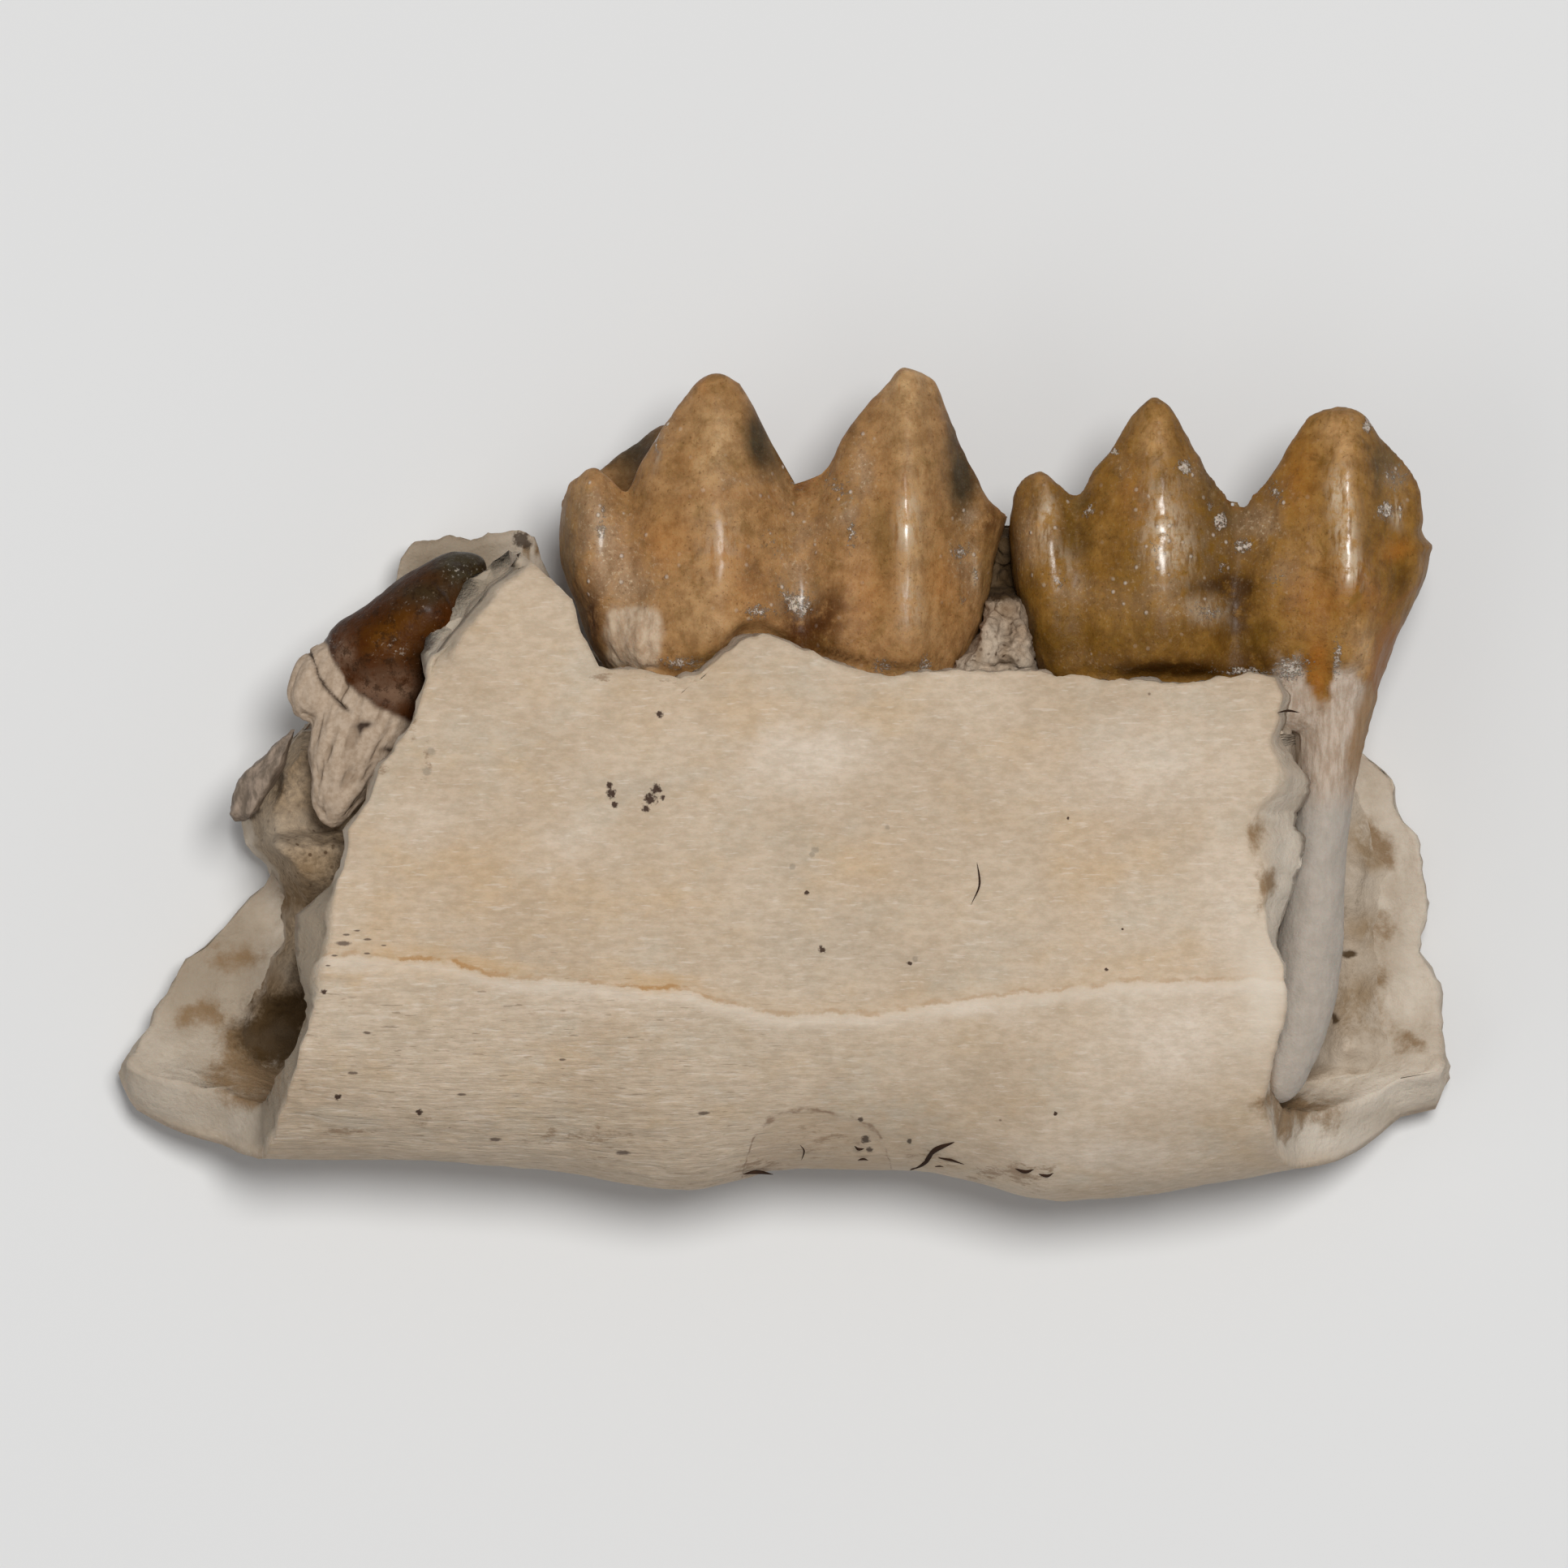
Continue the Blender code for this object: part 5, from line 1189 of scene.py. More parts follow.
REAR_ZONES = {
    "pale": [
        (8.9, 0.25, 0.5, 0.45, 1.0), (9.15, -1.4, 0.25, 0.9, 0.7), (8.75, -4.25, 0.7, 0.16, 1.2),
        (7.6, -0.9, 0.3, 1.6, 1.0), (7.5, 0.95, 0.35, 0.5, 0.9), (8.7, -1.65, 0.3, 0.25, 0.6),
        (9.2, -3.0, 0.2, 0.6, 0.5)],
    "brown": BROWN_PATCHES[:7],
    "dark": [
        (8.48, -2.62, 0.1, 0.05, 1.2), (8.22, -3.5, 0.07, 0.07, 1.0), (7.52, -2.1, 0.1, 0.22, 0.9),
        (8.6, -1.75, 0.05, 0.08, 0.6), (7.6, -4.58, 0.3, 0.06, 0.8)],
    "speckled": [
        (8.6, -3.3, 0.4, 0.5, 0.3)],
}
GAP_ZONES = {
    "pale": [
        (3.55, 1.75, 0.25, 0.2, 1.0), (3.1, 2.05, 0.22, 0.25, 0.7), (2.7, 1.75, 0.25, 0.15, 0.7)],
    "brown": [
        (3.3, 2.55, 0.3, 0.2, 0.9), (3.35, 2.0, 0.1, 0.3, 0.7), (2.9, 1.95, 0.08, 0.2, 0.8)],
    # The two broad dark zones at x 3.3 are painted shade on the clump's top, in the gap between the
    # crowns.
    "dark": [
        (3.3, 3.4, 0.4, 0.45, 2.5), (3.4, 2.2, 0.06, 0.15, 0.6), (3.3, 2.9, 0.4, 0.14, 1.5)],
    "speckled": [
        (3.2, 2.0, 0.6, 0.6, 1.0)],
}


def make_fill(name, outline, height, base, size, slope, shape, zones, material, slot, node,
              feathered=False):
    """A fill or flake as one closed piece, with its tinted zones."""
    high, low = fill_grids(*outline, height, base, *size, slope, feathered)
    mesh = mesh_of(name, *thick_sheet(high, low))
    displace(mesh, shape)
    x, y, z = xyz_of(mesh)
    for zone, spots in zones.items():
        mark(mesh, zone, patches(x, y, z, spots, 0.08))
    if feathered:
        cover = z - wall_inside(x, y, False) + 0.05 * rough(x, y, z, 0.2, 3, 96)
        mark(mesh, "thin", 1 - ramp(cover, 0.04, 0.26))
    return piece_of(name, mesh, material, slot, node)


def make_fills():
    """Sediment at the front end, between the molars and at the rear, and the splinter."""
    tan = sediment_material("tan_sediment", (0.270, 0.190, 0.112), (0.360, 0.265, 0.170),
                            (0.195, 0.118, 0.052), 0.30)
    pale = sediment_material("pale_sediment", (0.430, 0.345, 0.255), (0.500, 0.415, 0.325),
                             (0.300, 0.205, 0.115), 0.08)
    crumbly = sediment_material("crumbly_sediment", (0.310, 0.220, 0.145),
                                (0.480, 0.380, 0.280), (0.200, 0.120, 0.060), 0.30)
    make_fill("front_sediment_piece", (FRONT_FILL_LEFT, FRONT_FILL_RIGHT), front_height,
              buried_floor, (150, 130), 10.0, grains, FRONT_ZONES, tan, "sediment",
              "front_sediment", True)
    make_fill("rear_sediment_piece", (REAR_FILL_LEFT, REAR_FILL_RIGHT), rear_height,
              buried_floor, (160, 150), 8.0, soft_lumps, REAR_ZONES, pale, "sediment",
              "rear_sediment", True)
    make_fill("gap_sediment_piece", (GAP_CLUMP_LEFT, GAP_CLUMP_RIGHT), gap_height,
              clump_floor, (120, 70), 5.0, crumble, GAP_ZONES, crumbly,
              "sediment", "gap_sediment")
    make_fill("bone_splinter_piece", (SPLINTER_LEFT, SPLINTER_RIGHT), splinter_height,
              splinter_floor, (80, 36), 5.0, flake, {}, splinter_material(),
              "grey_bone", "bone_splinter")


# Stray fibres and crumbs caught on the bone: routes x, y and half width of each.
FIBRES = [
    ((2.87, -1.16), (2.91, -1.46), (2.78, -1.8), 0.014),
    ((7.34, 1.06), (7.5, 1.09), (7.68, 1.06), 0.018),
    ((0.24, -5.38), (0.3, -5.48), (0.26, -5.62), 0.012),
    ((2.1, -5.62), (2.28, -5.44), (2.54, -5.34), 0.042),
    ((1.88, -5.78), (2.1, -5.66), (2.24, -5.5), 0.03), ((2.3, -5.58), (2.48, -5.6), (2.7, -5.68), 0.03),
    ((2.2, -5.72), (2.36, -5.7), (2.5, -5.76), 0.02),
    ((-0.62, -5.83), (-0.4, -5.8), (-0.16, -5.84), 0.03),
    ((3.45, -5.74), (3.6, -5.78), (3.74, -5.74), 0.03),
    ((3.8, -5.82), (3.92, -5.84), (4.02, -5.8), 0.03),
    ((1.05, -5.4), (1.12, -5.45), (1.2, -5.44), 0.022),
    ((1.1, -5.62), (1.18, -5.6), (1.26, -5.62), 0.018)]


def outer_height(x, y):
    """Height of the bone's outer face at x, y, rounding included."""
    reach = ROUNDING_Y - border_y(x)
    bend = np.sqrt(1 - np.clip((ROUNDING_Y - y) / reach, 0, 0.995) ** 2)
    level = upper_face(x, np.maximum(y, ROUNDING_Y))
    return BORDER_Z + (level - BORDER_Z) * bend


def make_fibres():
    """Dark hairs and crumbs lying on the bone, one joined mesh of thin tubes."""
    points = []
    faces = []
    start = 0
    for *route, wide in FIBRES:
        across = np.array(route)
        z = outer_height(across[:, 0], across[:, 1]) + 0.02
        taper = np.array([0.5, 1.0, 0.4]) * wide
        path = np.column_stack([across, z, taper, taper])
        tube_points, tube_faces = tube(path, 24, 8)
        points.append(tube_points)
        faces += [tuple(corner + start for corner in face) for face in tube_faces]
        start += len(tube_points)
    mesh = mesh_of("stray_fibres", np.concatenate(points), faces, 0.0)
    return piece_of("stray_fibres", mesh, fibre_material(), "sediment")


# Materials

BUMP_DEPTH = 0.00003
GRAINY_BUMP = 0.00004


class Value:
    """A socket in a material. Its operators add Math nodes."""

    def __init__(self, paint, socket):
        self.paint = paint
        self.socket = socket

    def __add__(self, other):
        return self.paint.math("ADD", self, other)

    def __sub__(self, other):
        return self.paint.math("SUBTRACT", self, other)

    def __rsub__(self, other):
        return self.paint.math("SUBTRACT", other, self)

    def __mul__(self, other):
        return self.paint.math("MULTIPLY", self, other)

    def __truediv__(self, other):
        return self.paint.math("DIVIDE", self, other)

    __radd__ = __add__
    __rmul__ = __mul__


class Paint:
    """One material: its nodes, and the few patterns that this object's finishes use."""

    def __init__(self, name):
        self.material = bpy.data.materials.new(name)
        self.material.use_nodes = True
        self.tree = self.material.node_tree
        self.shader = self.tree.nodes["Principled BSDF"]
        self.base = None
        coordinates = self.node("ShaderNodeTexCoord")
        self.place = self.stretch(coordinates.outputs["Object"], (1000, 1000, 1000))

    def node(self, kind, settings=None, inputs=None):
        """Any node: its settings first, then its sockets' values or links."""
        made = self.tree.nodes.new(kind)
        for key, value in (settings or {}).items():
            setattr(made, key, value)
        for key, value in (inputs or {}).items():
            if isinstance(value, Value):
                value = value.socket
            if isinstance(value, bpy.types.NodeSocket):
                self.tree.links.new(value, made.inputs[key])
            else:
                made.inputs[key].default_value = value
        return made

    def math(self, operation, *values):
        """One Math node."""
        made = self.node("ShaderNodeMath", {"operation": operation}, dict(enumerate(values)))
        return Value(self, made.outputs[0])

    def stretch(self, vector, factors):
        """A place with each axis multiplied."""
        made = self.node("ShaderNodeVectorMath", {"operation": "MULTIPLY"},
                         {0: vector, 1: factors})
        return Value(self, made.outputs[0])

    def mark(self, name):
        """A number stored on the mesh's points."""
        made = self.node("ShaderNodeAttribute", {"attribute_name": name})
        return Value(self, made.outputs["Fac"])

    def noise(self, size, detail=3.0, roughness=0.55, squash=(1, 1, 1), twist=0.0):
        """Noise from 0 to 1 in lumps about size millimetres wide."""
        place = self.stretch(self.place, tuple(part / size for part in squash))
        made = self.node("ShaderNodeTexNoise", None,
                         {"Vector": place, "Scale": 1.0, "Detail": detail,
                          "Roughness": roughness, "Distortion": twist})
        return Value(self, made.outputs[0])

    def cells(self, size):
        """Distance to the nearest of scattered points, and a number for each of them."""
        place = self.stretch(self.place, (1 / size,) * 3)
        made = self.node("ShaderNodeTexVoronoi", None, {"Vector": place, "Scale": 1.0})
        pick = self.node("ShaderNodeSeparateColor", None, {"Color": made.outputs["Color"]})
        return Value(self, made.outputs["Distance"]), Value(self, pick.outputs[0])

    def height_y(self):
        """The place's Y in millimetres."""
        split = self.node("ShaderNodeSeparateXYZ", None, {0: self.place})
        return Value(self, split.outputs[1])

    def step(self, value, low, high):
        """Smooth step from 0 at low to 1 at high."""
        made = self.node("ShaderNodeMapRange", {"interpolation_type": "SMOOTHSTEP"},
                         {"Value": value, "From Min": low, "From Max": high})
        return Value(self, made.outputs[0])

    def mix(self, factor, first, second, blend="MIX"):
        """Two colours mixed by a factor."""
        colours = [(*part, 1) if isinstance(part, tuple) else part for part in (first, second)]
        made = self.node("ShaderNodeMix", {"data_type": "RGBA", "blend_type": blend},
                         {0: factor, 6: colours[0], 7: colours[1]})
        return Value(self, made.outputs[2])

    def lay(self, factor, colour, blend="MIX"):
        """Lays a colour over the base colour so far."""
        self.base = self.mix(factor, self.base, colour, blend)

    def spots(self, places, ragged=0.35, flat=1.0):
        """Mask of spots, each x, y, radius in traced millimetres, ragged by noise and
        flat times lower than wide."""
        wobble = (self.noise(0.05, 2) - 0.5) * ragged
        total = None
        for x, y, radius in places:
            apart = self.node("ShaderNodeVectorMath", {"operation": "SUBTRACT"},
                              {0: self.place.socket, 1: (x - CENTRE[0], y - CENTRE[1], 0)})
            level = self.stretch(apart.outputs[0], (1, flat, 0))
            far = self.node("ShaderNodeVectorMath", {"operation": "LENGTH"}, {0: level})
            ratio = Value(self, far.outputs["Value"]) / radius + wobble
            inside = 1 - self.step(ratio, 0.55, 1.2)
            total = inside if total is None else self.math("MAXIMUM", total, inside)
        return total

    def finish(self, roughness, height=None, depth=BUMP_DEPTH, strength=0.9, **others):
        """Joins base colour, roughness, bump and the other sockets' values to the shader."""
        links = {"Base Color": self.base, "Roughness": roughness}
        links.update({key.replace("_", " "): value for key, value in others.items()})
        if height is not None:
            made = self.node("ShaderNodeBump", None,
                             {"Height": height, "Strength": strength, "Distance": depth})
            links["Normal"] = Value(self, made.outputs[0])
        for key, value in links.items():
            if isinstance(value, Value):
                self.tree.links.new(value.socket, self.shader.inputs[key])
            else:
                self.shader.inputs[key].default_value = value
        return self.material


DARK_SPECKS = [
    (-2.57, -0.14, 0.075), (-2.6, -0.02, 0.05), (-2.52, -0.3, 0.05), (-1.99, -0.23, 0.1),
    (-1.9, -0.08, 0.075), (-2.06, -0.36, 0.06), (-1.8, -0.2, 0.04), (0.57, -2.46, 0.055),
    (0.34, -1.62, 0.035), (4.79, -2.76, 0.03), (4.04, -4.91, 0.035), (-6.64, -4.66, 0.05),
    (-5.43, -4.89, 0.05), (-6.84, -3.09, 0.04), (5.03, -2.16, 0.02), (4.22, -0.51, 0.025),
    (1.87, -2.67, 0.04), (-1.85, 1.04, 0.06)]
DASHES = [
    (-6.55, -2.37, 0.12), (-6.68, -2.55, 0.05), (-6.5, -2.24, 0.06), (-6.19, -2.31, 0.06),
    (-6.35, -2.18, 0.05), (-6.78, -2.7, 0.04), (-6.2, -2.52, 0.05), (-5.95, -2.4, 0.04),
    (-6.42, -4.3, 0.08), (-4.8, -4.62, 0.07), (-3.3, -4.1, 0.06), (-6.2, -3.7, 0.07), (-1.2, -4.9, 0.1),
    (-2.4, -5.5, 0.12), (-4.3, -5.3, 0.1)]
BLACK_DABS = [
    (-3.95, 3.68, 0.13), (-3.86, 3.6, 0.08), (1.22, -5.3, 0.07), (1.14, -5.0, 0.04),
    (1.87, -5.33, 0.04), (1.28, -5.46, 0.05), (8.55, -2.65, 0.09), (8.8, -2.67, 0.05)]
GREY_SPECKS = [
    (0.12, -1.23, 0.05), (0.46, -0.98, 0.06), (1.54, -0.65, 0.04), (0.42, -1.05, 0.05),
    (1.95, -2.6, 0.05), (-5.25, 0.49, 0.07), (-5.31, 0.19, 0.07)]


def bone_material():
    """Dry cream bone: tan, grey and pale clouds, fibres along the jaw, a stained ledge line,
    a cracked chip, dirt on the lower border, dark specks, brown staining inside."""
    paint = Paint("bone_finish")
    clouds = paint.noise(2.2, 4, 0.6)
    blotches = paint.noise(0.75, 4, 0.65, (0.7, 1, 1))
    tinge = paint.noise(1.1, 4, 0.7, (0.8, 1, 1))
    mottle = paint.noise(0.11, 4, 0.7, (0.52, 1, 1))
    strands = paint.noise(0.07, 3, 0.65, (0.13, 1, 1))
    fibre = paint.mark("fibre")
    paint.base = paint.mix(paint.step(clouds, 0.36, 0.66), (0.545, 0.432, 0.312),
                           (0.475, 0.362, 0.248))
    paint.lay(paint.step(tinge, 0.5, 0.68) * 0.45, (0.5, 0.43, 0.33))
    tan = paint.step(blotches + paint.mark("warm") * 0.22, 0.50, 0.78)
    paint.lay(tan * 0.65, (0.51, 0.37, 0.225))
    paint.lay(paint.mark("warm") * 0.35, (0.54, 0.37, 0.215))
    # Grey patches, and painted shade on the upper wall's broken front end.
    paint.lay(paint.mark("grey") * 0.5, (0.38, 0.315, 0.235))
    paint.lay(paint.mark("pale") * 0.65, (0.67, 0.57, 0.46))
    dapple = paint.mix(paint.step(mottle, 0.32, 0.68), (1.06, 1.06, 1.07), (0.89, 0.875, 0.85))
    paint.lay(1.0, dapple, "MULTIPLY")
    scratch = paint.step(paint.noise(0.05, 2, 0.6, (0.16, 1, 1)), 0.60, 0.70)
    paint.lay(scratch * 0.3, (0.72, 0.63, 0.53))
    streak = paint.step(strands, 0.48, 0.70) * fibre
    paint.lay(streak * 0.5, (0.37, 0.285, 0.2))
    bright = (1 - paint.step(strands, 0.30, 0.44)) * fibre
    paint.lay(bright * 0.4, (0.7, 0.61, 0.51))
    hair = paint.noise(0.04, 2, 0.5, (0.12, 1, 1))
    paint.lay(paint.step(hair, 0.66, 0.72) * fibre * 0.65, (0.22, 0.155, 0.1))
    fray = (paint.noise(0.16, 4, 0.7) - 0.5) * 0.16
    above = (paint.mark("above_ledge") - 0.5) * 2 + fray
    lit = paint.step(above, -0.34, -0.10) * (1 - paint.step(above, -0.06, 0.0))
    paint.lay(lit * 0.45, (0.68, 0.585, 0.475))
    near_line = 1 - paint.step(paint.math("ABSOLUTE", above), 0.012, 0.050)
    broken = paint.step(paint.noise(0.30, 3), 0.40, 0.56)
    paint.lay(near_line * broken * paint.mark("stained"), (0.34, 0.17, 0.06))
    glow = 1 - paint.step(paint.math("ABSOLUTE", above - 0.06), 0.04, 0.22)
    paint.lay(glow * paint.mark("stained") * 0.4, (0.52, 0.32, 0.14))
    below = (paint.mark("below_chip") - 0.5) * 2 + fray
    paint.lay(paint.step(below, -0.04, 0.16) * 0.32, (0.44, 0.315, 0.205))
    crack = 1 - paint.step(paint.math("ABSOLUTE", below), 0.012, 0.075)
    paint.lay(crack * paint.step(paint.noise(0.22, 3), 0.4, 0.62) * 0.7, (0.2, 0.115, 0.065))
    dirt = paint.mark("dirt")
    soil = paint.step(paint.noise(0.13, 5, 0.75, (0.5, 1, 1)) + dirt * 0.26, 0.60, 0.76)
    paint.lay(soil * paint.step(dirt, 0.03, 0.4) * 0.8, (0.26, 0.17, 0.1))
    near, pick = paint.cells(0.55)
    fleck = (1 - paint.step(near, 0.02, 0.06)) * paint.step(pick, 0.84, 0.86)
    paint.lay(fleck * 0.75, (0.16, 0.1, 0.06))
    paint.lay(paint.spots(GREY_SPECKS, 1.2) * 0.5, (0.22, 0.18, 0.13))
    paint.lay(paint.spots(DASHES, 0.8, 3.2) * 0.85, (0.1, 0.065, 0.045))
    paint.lay(paint.mark("bevel") * 0.75, paint.mix(mottle, (0.42, 0.35, 0.27), (0.24, 0.185, 0.13)))
    inside = paint.mark("inside")
    outside = 1 - paint.step(inside, 0.0, 0.5)
    paint.lay(paint.spots(DARK_SPECKS, 2.0) * outside * 0.97, (0.045, 0.02, 0.01))
    crumb = paint.noise(0.12, 4, 0.65)
    paint.lay(inside * 0.95, raw_bone(paint))
    # Near-white low ends and right broken face, partly painted light on faces that lie in shade.
    paint.lay(paint.mark("light") * 0.75, (0.7, 0.61, 0.495))
    brown = paint.mark("brown")
    stain = paint.step(paint.noise(0.28, 5, 0.75) * 1.4 + brown * 0.70, 0.72, 1.45)
    paint.lay(stain * paint.step(brown, 0.02, 0.4) * 0.9, (0.225, 0.135, 0.06))
    darken(paint, paint.mark("hollow"))
    paint.lay(paint.spots(BLACK_DABS, 1.5) * 0.9, (0.055, 0.034, 0.02))
    relief = strands * fibre * 1.0 + mottle * 0.45 + crumb * inside * 1.0
    return paint.finish(0.62 + mottle * 0.2, relief,
                        Specular_IOR_Level=0.25, Subsurface_Weight=0.05,
                        Subsurface_Scale=0.0005)


def darken(paint, dark):
    """Lays nearly black-brown hollows over the base colour, their edges broken by noise; on the clump
    between the molars this is painted shade.
    """
    grain = paint.noise(0.09, 4, 0.7)
    clouds = paint.noise(0.5, 4, 0.65)
    edge = dark + (grain - 0.5) * 0.7 + (clouds - 0.5) * 0.6
    paint.lay(paint.step(edge, 0.12, 0.85) * 0.92, (0.055, 0.027, 0.005))


def raw_bone(paint):
    """Colour of the broken and inner bone, greyer where the mesh says so: grey patches, and painted
    shade on the upper wall's broken front end.
    """
    soft = paint.noise(0.8, 3, 0.6)
    crumb = paint.noise(0.12, 4, 0.65)
    raw = paint.mix(paint.step(soft, 0.36, 0.64), (0.57, 0.485, 0.385), (0.48, 0.395, 0.30))
    raw = paint.mix(paint.step(crumb, 0.40, 0.72) * 0.35, raw, (0.38, 0.29, 0.205))
    # Grey tone on the broken faces; on the upper wall's broken front end it is painted shade.
    return paint.mix(paint.mark("grey") * 0.85, raw, (0.26, 0.200, 0.135))


AMBER = {
    "body": (0.29, 0.152, 0.054),
    "shift": (0.35, 0.192, 0.078),
    "pale": (0.43, 0.27, 0.128),
    "warm": (0.4, 0.19, 0.06),
    "olive": (0.165, 0.09, 0.02),
    "deep": (0.085, 0.03, 0.006),
    "grey": (0.045, 0.033, 0.017),
    "haze": (0.37, 0.265, 0.175),
    "sugar": (0.56, 0.42, 0.27),
    "back": (0.17, 0.085, 0.028),
}
OLIVE = {
    "body": (0.2, 0.094, 0.014),
    "shift": (0.25, 0.126, 0.028),
    "pale": (0.44, 0.255, 0.105),
    "warm": (0.35, 0.135, 0.02),
    "olive": (0.112, 0.055, 0.005),
    "deep": (0.06, 0.024, 0.003),
    "grey": (0.09, 0.062, 0.028),
    "haze": (0.33, 0.232, 0.148),
    "sugar": (0.47, 0.345, 0.215),
    "back": (0.15, 0.08, 0.022),
}


def enamel_material(name, tones):
    """Enamel from amber to olive: paler ribs, dark hollows, milky haze, sugary grain, white
    crumbs with painted glints, and glossy strips with a painted highlight, with cream cement and a dull
    root where the mesh says so."""
    paint = Paint(name)
    clouds = paint.noise(0.7, 4, 0.6)
    cloth = paint.noise(0.24, 5, 0.7)
    weave = paint.noise(0.065, 3, 0.7)
    strands = paint.noise(0.10, 3, 0.6, (1, 0.25, 1))
    paint.base = paint.mix(paint.step(clouds, 0.36, 0.64), tones["body"], tones["shift"])
    paint.lay(paint.mark("warm") * paint.step(cloth, 0.2, 0.58), tones["warm"])
    paint.lay(paint.mark("pale") * paint.step(strands, 0.15, 0.55), tones["pale"])
    paint.lay(paint.mark("olive") * 0.85, tones["olive"])
    drift = paint.step(paint.noise(0.42, 5, 0.7, twist=0.6), 0.52, 0.66)
    paint.lay(drift * 0.4, tones["olive"])
    paint.lay(paint.mark("deep") * paint.step(cloth, 0.2, 0.5), tones["deep"])
    paint.lay(paint.mark("grey") * 0.94, tones["grey"])
    paint.lay(paint.mark("back") * 0.7, tones["back"])
    paint.lay(paint.mark("shadow") * 0.9, (0.03, 0.024, 0.014))
    haze = paint.mark("haze")
    veil = paint.step(cloth + haze * 0.25, 0.42, 0.74)
    paint.lay(haze * veil * 0.55, tones["haze"])
    fine = paint.mix(paint.step(cloth, 0.32, 0.68), (1.20, 1.20, 1.20), (0.78, 0.72, 0.64))
    paint.lay(1.0, fine, "MULTIPLY")
    sugar = paint.step(weave, 0.54, 0.72)
    paint.lay(sugar * (0.07 + haze * 0.85), tones["sugar"])
    paint.lay((1 - paint.step(weave, 0.3, 0.42)) * 0.45, tones["deep"])
    paint.lay(paint.mark("stain") * 0.75, (0.26, 0.105, 0.03))
    grit = paint.noise(0.065, 4, 0.8)
    crumbs = paint.mark("crumbs")
    crumb = paint.step(grit + crumbs * 0.26, 0.64, 0.78) * paint.step(crumbs, 0.03, 0.3)
    # Painted glints: small off-white flecks standing in for tiny highlights, laid together with the
    # real white crumbs.
    near, pick = paint.cells(0.17)
    spark = (1 - paint.step(near, 0.10, 0.26)) * paint.step(pick + haze * 0.20, 0.80, 0.84)
    painted_glints = spark * paint.step(haze + crumbs + 0.20, 0.05, 0.7)
    crumbs_and_painted_glints = paint.math("MAXIMUM", crumb, painted_glints * 0.8)
    chalk_and_glint_colour = paint.mix(paint.noise(0.08, 2), (0.40, 0.28, 0.18), (0.74, 0.68, 0.61))
    paint.lay(crumbs_and_painted_glints * 0.92, chalk_and_glint_colour)
    cement = paint.mark("cement")
    cream = paint.mix(paint.step(paint.noise(0.14, 4, 0.7, (1, 0.6, 1)), 0.36, 0.66),
                      (0.56, 0.430, 0.300), (0.42, 0.290, 0.185))
    paint.lay(cement * 0.95, cream)
    root = paint.mark("bare")
    paint.lay(root, root_tone(paint, cloth, crumb))
    gloss_and_painted_highlight = paint.mark("gloss_and_painted_highlight") * paint.step(cloth, 0.34, 0.56)
    dull = paint.math("MAXIMUM", root, cement)
    # Painted highlight: pale streaks laid into the colour of the glossy strips.
    paint.lay(gloss_and_painted_highlight * paint.step(strands, 0.34, 0.56) * 0.6, (0.68, 0.54, 0.37))
    shine = 0.42 + haze * veil * 0.15 + crumbs_and_painted_glints * 0.25 + dull * 0.25 - gloss_and_painted_highlight * 0.14
    relief = crumbs_and_painted_glints * 0.9 + cloth * 0.9 + weave * 0.35 + strands * 0.2
    return paint.finish(shine, relief, Specular_IOR_Level=0.11,
                        Subsurface_Weight=0.10, Subsurface_Scale=0.0004,
                        Coat_Weight=gloss_and_painted_highlight * (1 - dull), Coat_Roughness=0.22)


def root_tone(paint, cloth, crumb):
    """Colour of the bare root: tan and rough under the crown, calm and grey-white below."""
    grain = paint.noise(0.085, 4, 0.7, (1, 0.22, 1))
    low = paint.step(paint.height_y(), 0.2, -0.5)
    bare = paint.mix(paint.step(grain, 0.36, 0.64), (0.385, 0.285, 0.205), (0.520, 0.420, 0.330))
    calm = paint.mix(paint.step(cloth, 0.35, 0.65), (0.40, 0.355, 0.300), (0.46, 0.405, 0.345))
    bare = paint.mix(low * 0.85, bare, calm)
    bare = paint.mix(paint.mark("stain") * 0.75, bare, (0.25, 0.135, 0.050))
    return paint.mix(crumb * 0.8, bare, (0.60, 0.53, 0.45))


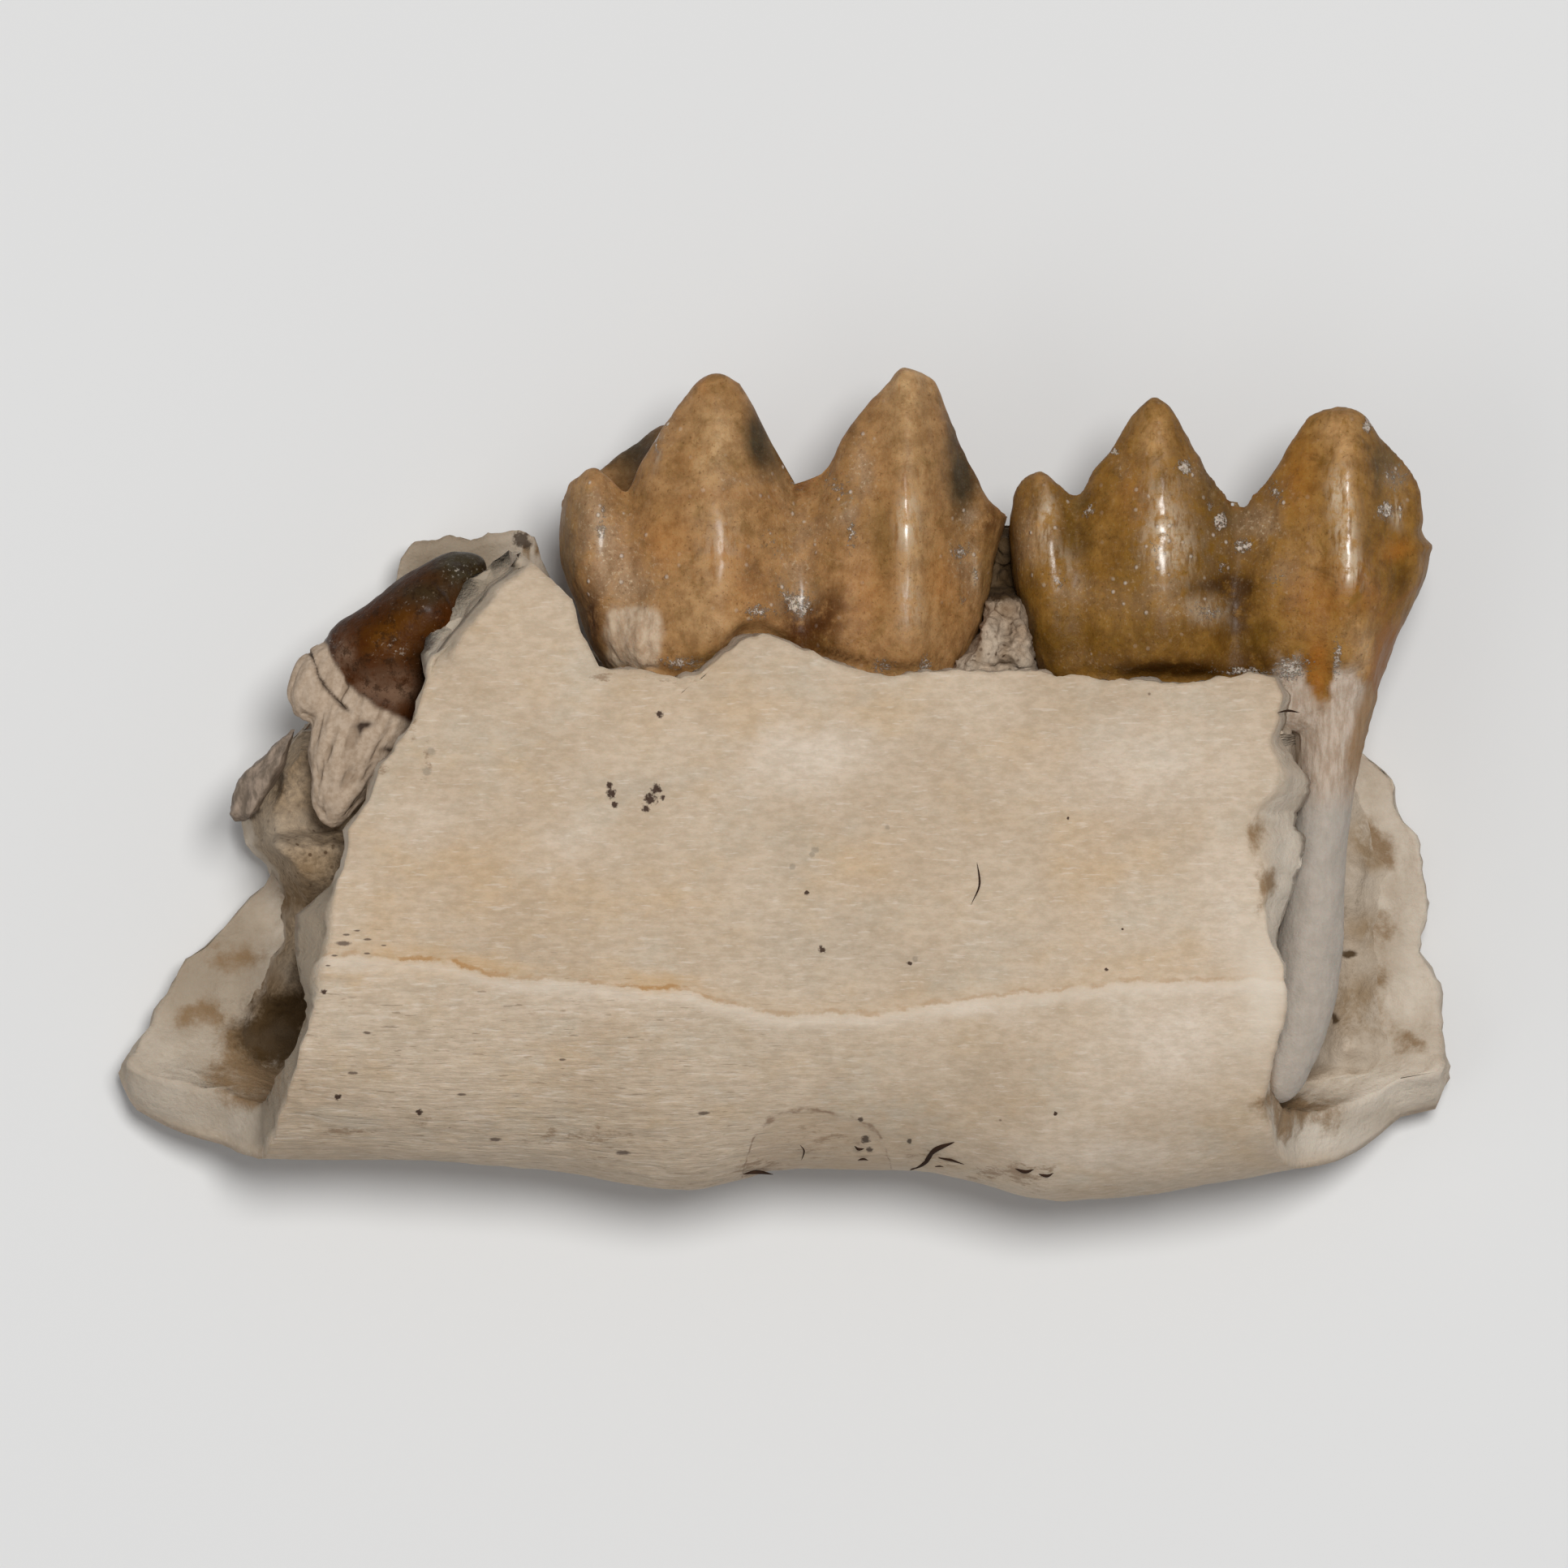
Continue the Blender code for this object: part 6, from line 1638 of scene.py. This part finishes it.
def premolar_material():
    """Dark brown crown with a black-green tip over a whitish grooved root."""
    paint = Paint("premolar_finish")
    clouds = paint.noise(0.30, 5, 0.75)
    weave = paint.noise(0.06, 3, 0.7)
    crown = paint.mix(paint.step(clouds, 0.35, 0.65), (0.060, 0.016, 0.002), (0.036, 0.010, 0.001))
    crown = paint.mix(paint.mark("amber") * paint.step(clouds, 0.30, 0.60), crown,
                      (0.110, 0.038, 0.003))
    crown = paint.mix(paint.mark("mauve") * paint.step(clouds, 0.25, 0.60), crown,
                      (0.200, 0.115, 0.070))
    crown = paint.mix(paint.mark("tip") * 0.9, crown, (0.040, 0.031, 0.014))
    crown = paint.mix(paint.mark("shade") * 0.8, crown, (0.022, 0.009, 0.003))
    murk = paint.step(paint.noise(0.18, 5, 0.8), 0.50, 0.62)
    crown = paint.mix(murk * 0.60, crown, (0.018, 0.007, 0.002))
    crown = paint.mix(paint.step(weave, 0.62, 0.74) * 0.32, crown, (0.30, 0.20, 0.12))
    grooves = paint.mark("grooves")
    mottle = paint.noise(0.10, 4, 0.65)
    root = paint.mix(paint.step(mottle, 0.35, 0.68), (0.49, 0.38, 0.28), (0.38, 0.28, 0.195))
    root = paint.mix(grooves * 0.60, root, (0.22, 0.15, 0.095))
    shown = paint.mark("crown")
    paint.base = paint.mix(shown, root, crown)
    paint.lay(paint.mark("crack") * 0.95, (0.035, 0.02, 0.013))
    gloss_and_painted_highlight = paint.mark("gloss_and_painted_highlight") * shown
    # Painted highlight: pale specks laid into the colour of the glossy tip.
    paint.lay(gloss_and_painted_highlight * paint.step(weave, 0.58, 0.68) * 0.5, (0.45, 0.4, 0.33))
    shine = 0.72 - shown * 0.30 - gloss_and_painted_highlight * 0.15
    relief = mottle * 0.5 + grooves * (1 - shown) * -0.8 + clouds * shown * 0.6
    return paint.finish(shine, relief, Specular_IOR_Level=0.05,
                        Coat_Weight=gloss_and_painted_highlight * paint.step(clouds, 0.40, 0.60), Coat_Roughness=0.18)


def sediment_material(name, ground, light, brown, contrast):
    """Hardened sediment: soft clouds, grains and dark specks, with bare bone, tan, dark,
    pale and brown zones where the mesh says so."""
    paint = Paint(name)
    clouds = paint.noise(0.5, 4, 0.65)
    grain = paint.noise(0.09, 4, 0.7)
    paint.base = paint.mix(paint.step(clouds, 0.36, 0.64), ground, light)
    tone = paint.mix(paint.step(grain, 0.30, 0.70), (1 + contrast,) * 3, (1 - contrast,) * 3)
    paint.lay(1.0, tone, "MULTIPLY")
    paint.lay(paint.mark("thin"), raw_bone(paint))
    paint.lay(paint.mark("pale") * 0.9, (0.5, 0.41, 0.31))
    paint.lay(paint.mark("brown") * paint.step(clouds + grain * 0.3, 0.42, 0.74) * 0.9, brown)
    darken(paint, paint.mark("dark"))
    near, pick = paint.cells(0.11)
    fleck = (1 - paint.step(near, 0.15, 0.38)) * paint.step(pick, 0.66, 0.70)
    paint.lay(fleck * paint.mark("speckled") * 0.85, (0.085, 0.045, 0.02))
    return paint.finish(0.85, grain + clouds * 0.4, GRAINY_BUMP,
                        Specular_IOR_Level=0.2)


def splinter_material():
    """Grey-brown bone flake with faint streaks."""
    paint = Paint("splinter_finish")
    streaks = paint.noise(0.10, 4, 0.6, (1, 0.4, 1))
    paint.base = paint.mix(paint.step(streaks, 0.35, 0.65), (0.15, 0.11, 0.075), (0.3, 0.225, 0.165))
    return paint.finish(0.75, streaks, strength=0.8)


def fibre_material():
    """Nearly black and dull."""
    paint = Paint("fibre_finish")
    paint.base = paint.mix(paint.noise(0.05, 2), (0.020, 0.010, 0.006), (0.045, 0.022, 0.012))
    return paint.finish(0.9, Specular_IOR_Level=0.1)


# Stage

FLOOR_REACH = 1.5
FLOOR_COLOUR = (0.72, 0.715, 0.70, 1)
LIGHTS = [("key", (0.05, 0.07, 0.41), 0.12, 1.30), ("fill", (-0.22, -0.10, 0.26), 0.25, 0.15)]
SKY_COLOUR = (0.9, 0.93, 1.0, 1)
SKY_STRENGTH = 0.24


def make_stage():
    """Pale floor, one large soft light by the camera, a weak fill, and the camera."""
    floor_mesh = bpy.data.meshes.new("floor")
    far = FLOOR_REACH
    floor_mesh.from_pydata([(-far, -far, 0), (far, -far, 0), (far, far, 0), (-far, far, 0)],
                           [], [(0, 1, 2, 3)])
    floor = bpy.data.objects.new("floor", floor_mesh)
    bpy.context.scene.collection.objects.link(floor)
    pale = bpy.data.materials.new("floor_finish")
    pale.use_nodes = True
    shader = pale.node_tree.nodes["Principled BSDF"]
    shader.inputs["Base Color"].default_value = FLOOR_COLOUR
    shader.inputs["Roughness"].default_value = 0.9
    floor_mesh.materials.append(pale)

    camera = bpy.data.cameras.new("camera")
    camera.sensor_width = SENSOR
    camera.lens = SENSOR * (CAMERA_UP - SEEN_AT_HEIGHT) / SEEN_WIDTH
    camera.clip_start = 0.01
    camera.clip_end = 10
    seat = bpy.data.objects.new("camera", camera)
    seat.location = (-CENTRE[0] * MM, -CENTRE[1] * MM, CAMERA_UP)
    bpy.context.scene.collection.objects.link(seat)
    bpy.context.scene.camera = seat

    for name, place, size, power in LIGHTS:
        light = bpy.data.lights.new(name, "AREA")
        light.shape = "DISK"
        light.size = size
        light.energy = power
        lamp = bpy.data.objects.new(name, light)
        lamp.location = place
        aim = -np.array(place)
        lamp.rotation_euler = (np.arctan2(np.hypot(aim[0], aim[1]), -aim[2]), 0,
                               np.arctan2(aim[1], aim[0]) - np.pi / 2)
        bpy.context.scene.collection.objects.link(lamp)
    world = bpy.data.worlds.new("studio")
    world.use_nodes = True
    background = world.node_tree.nodes["Background"]
    background.inputs["Color"].default_value = SKY_COLOUR
    background.inputs["Strength"].default_value = SKY_STRENGTH
    bpy.context.scene.world = world
    bpy.context.scene.view_settings.view_transform = "Standard"


make_stage()
make_bone()
make_middle_molar()
make_rear_molar()
make_premolar()
make_fills()
make_fibres()
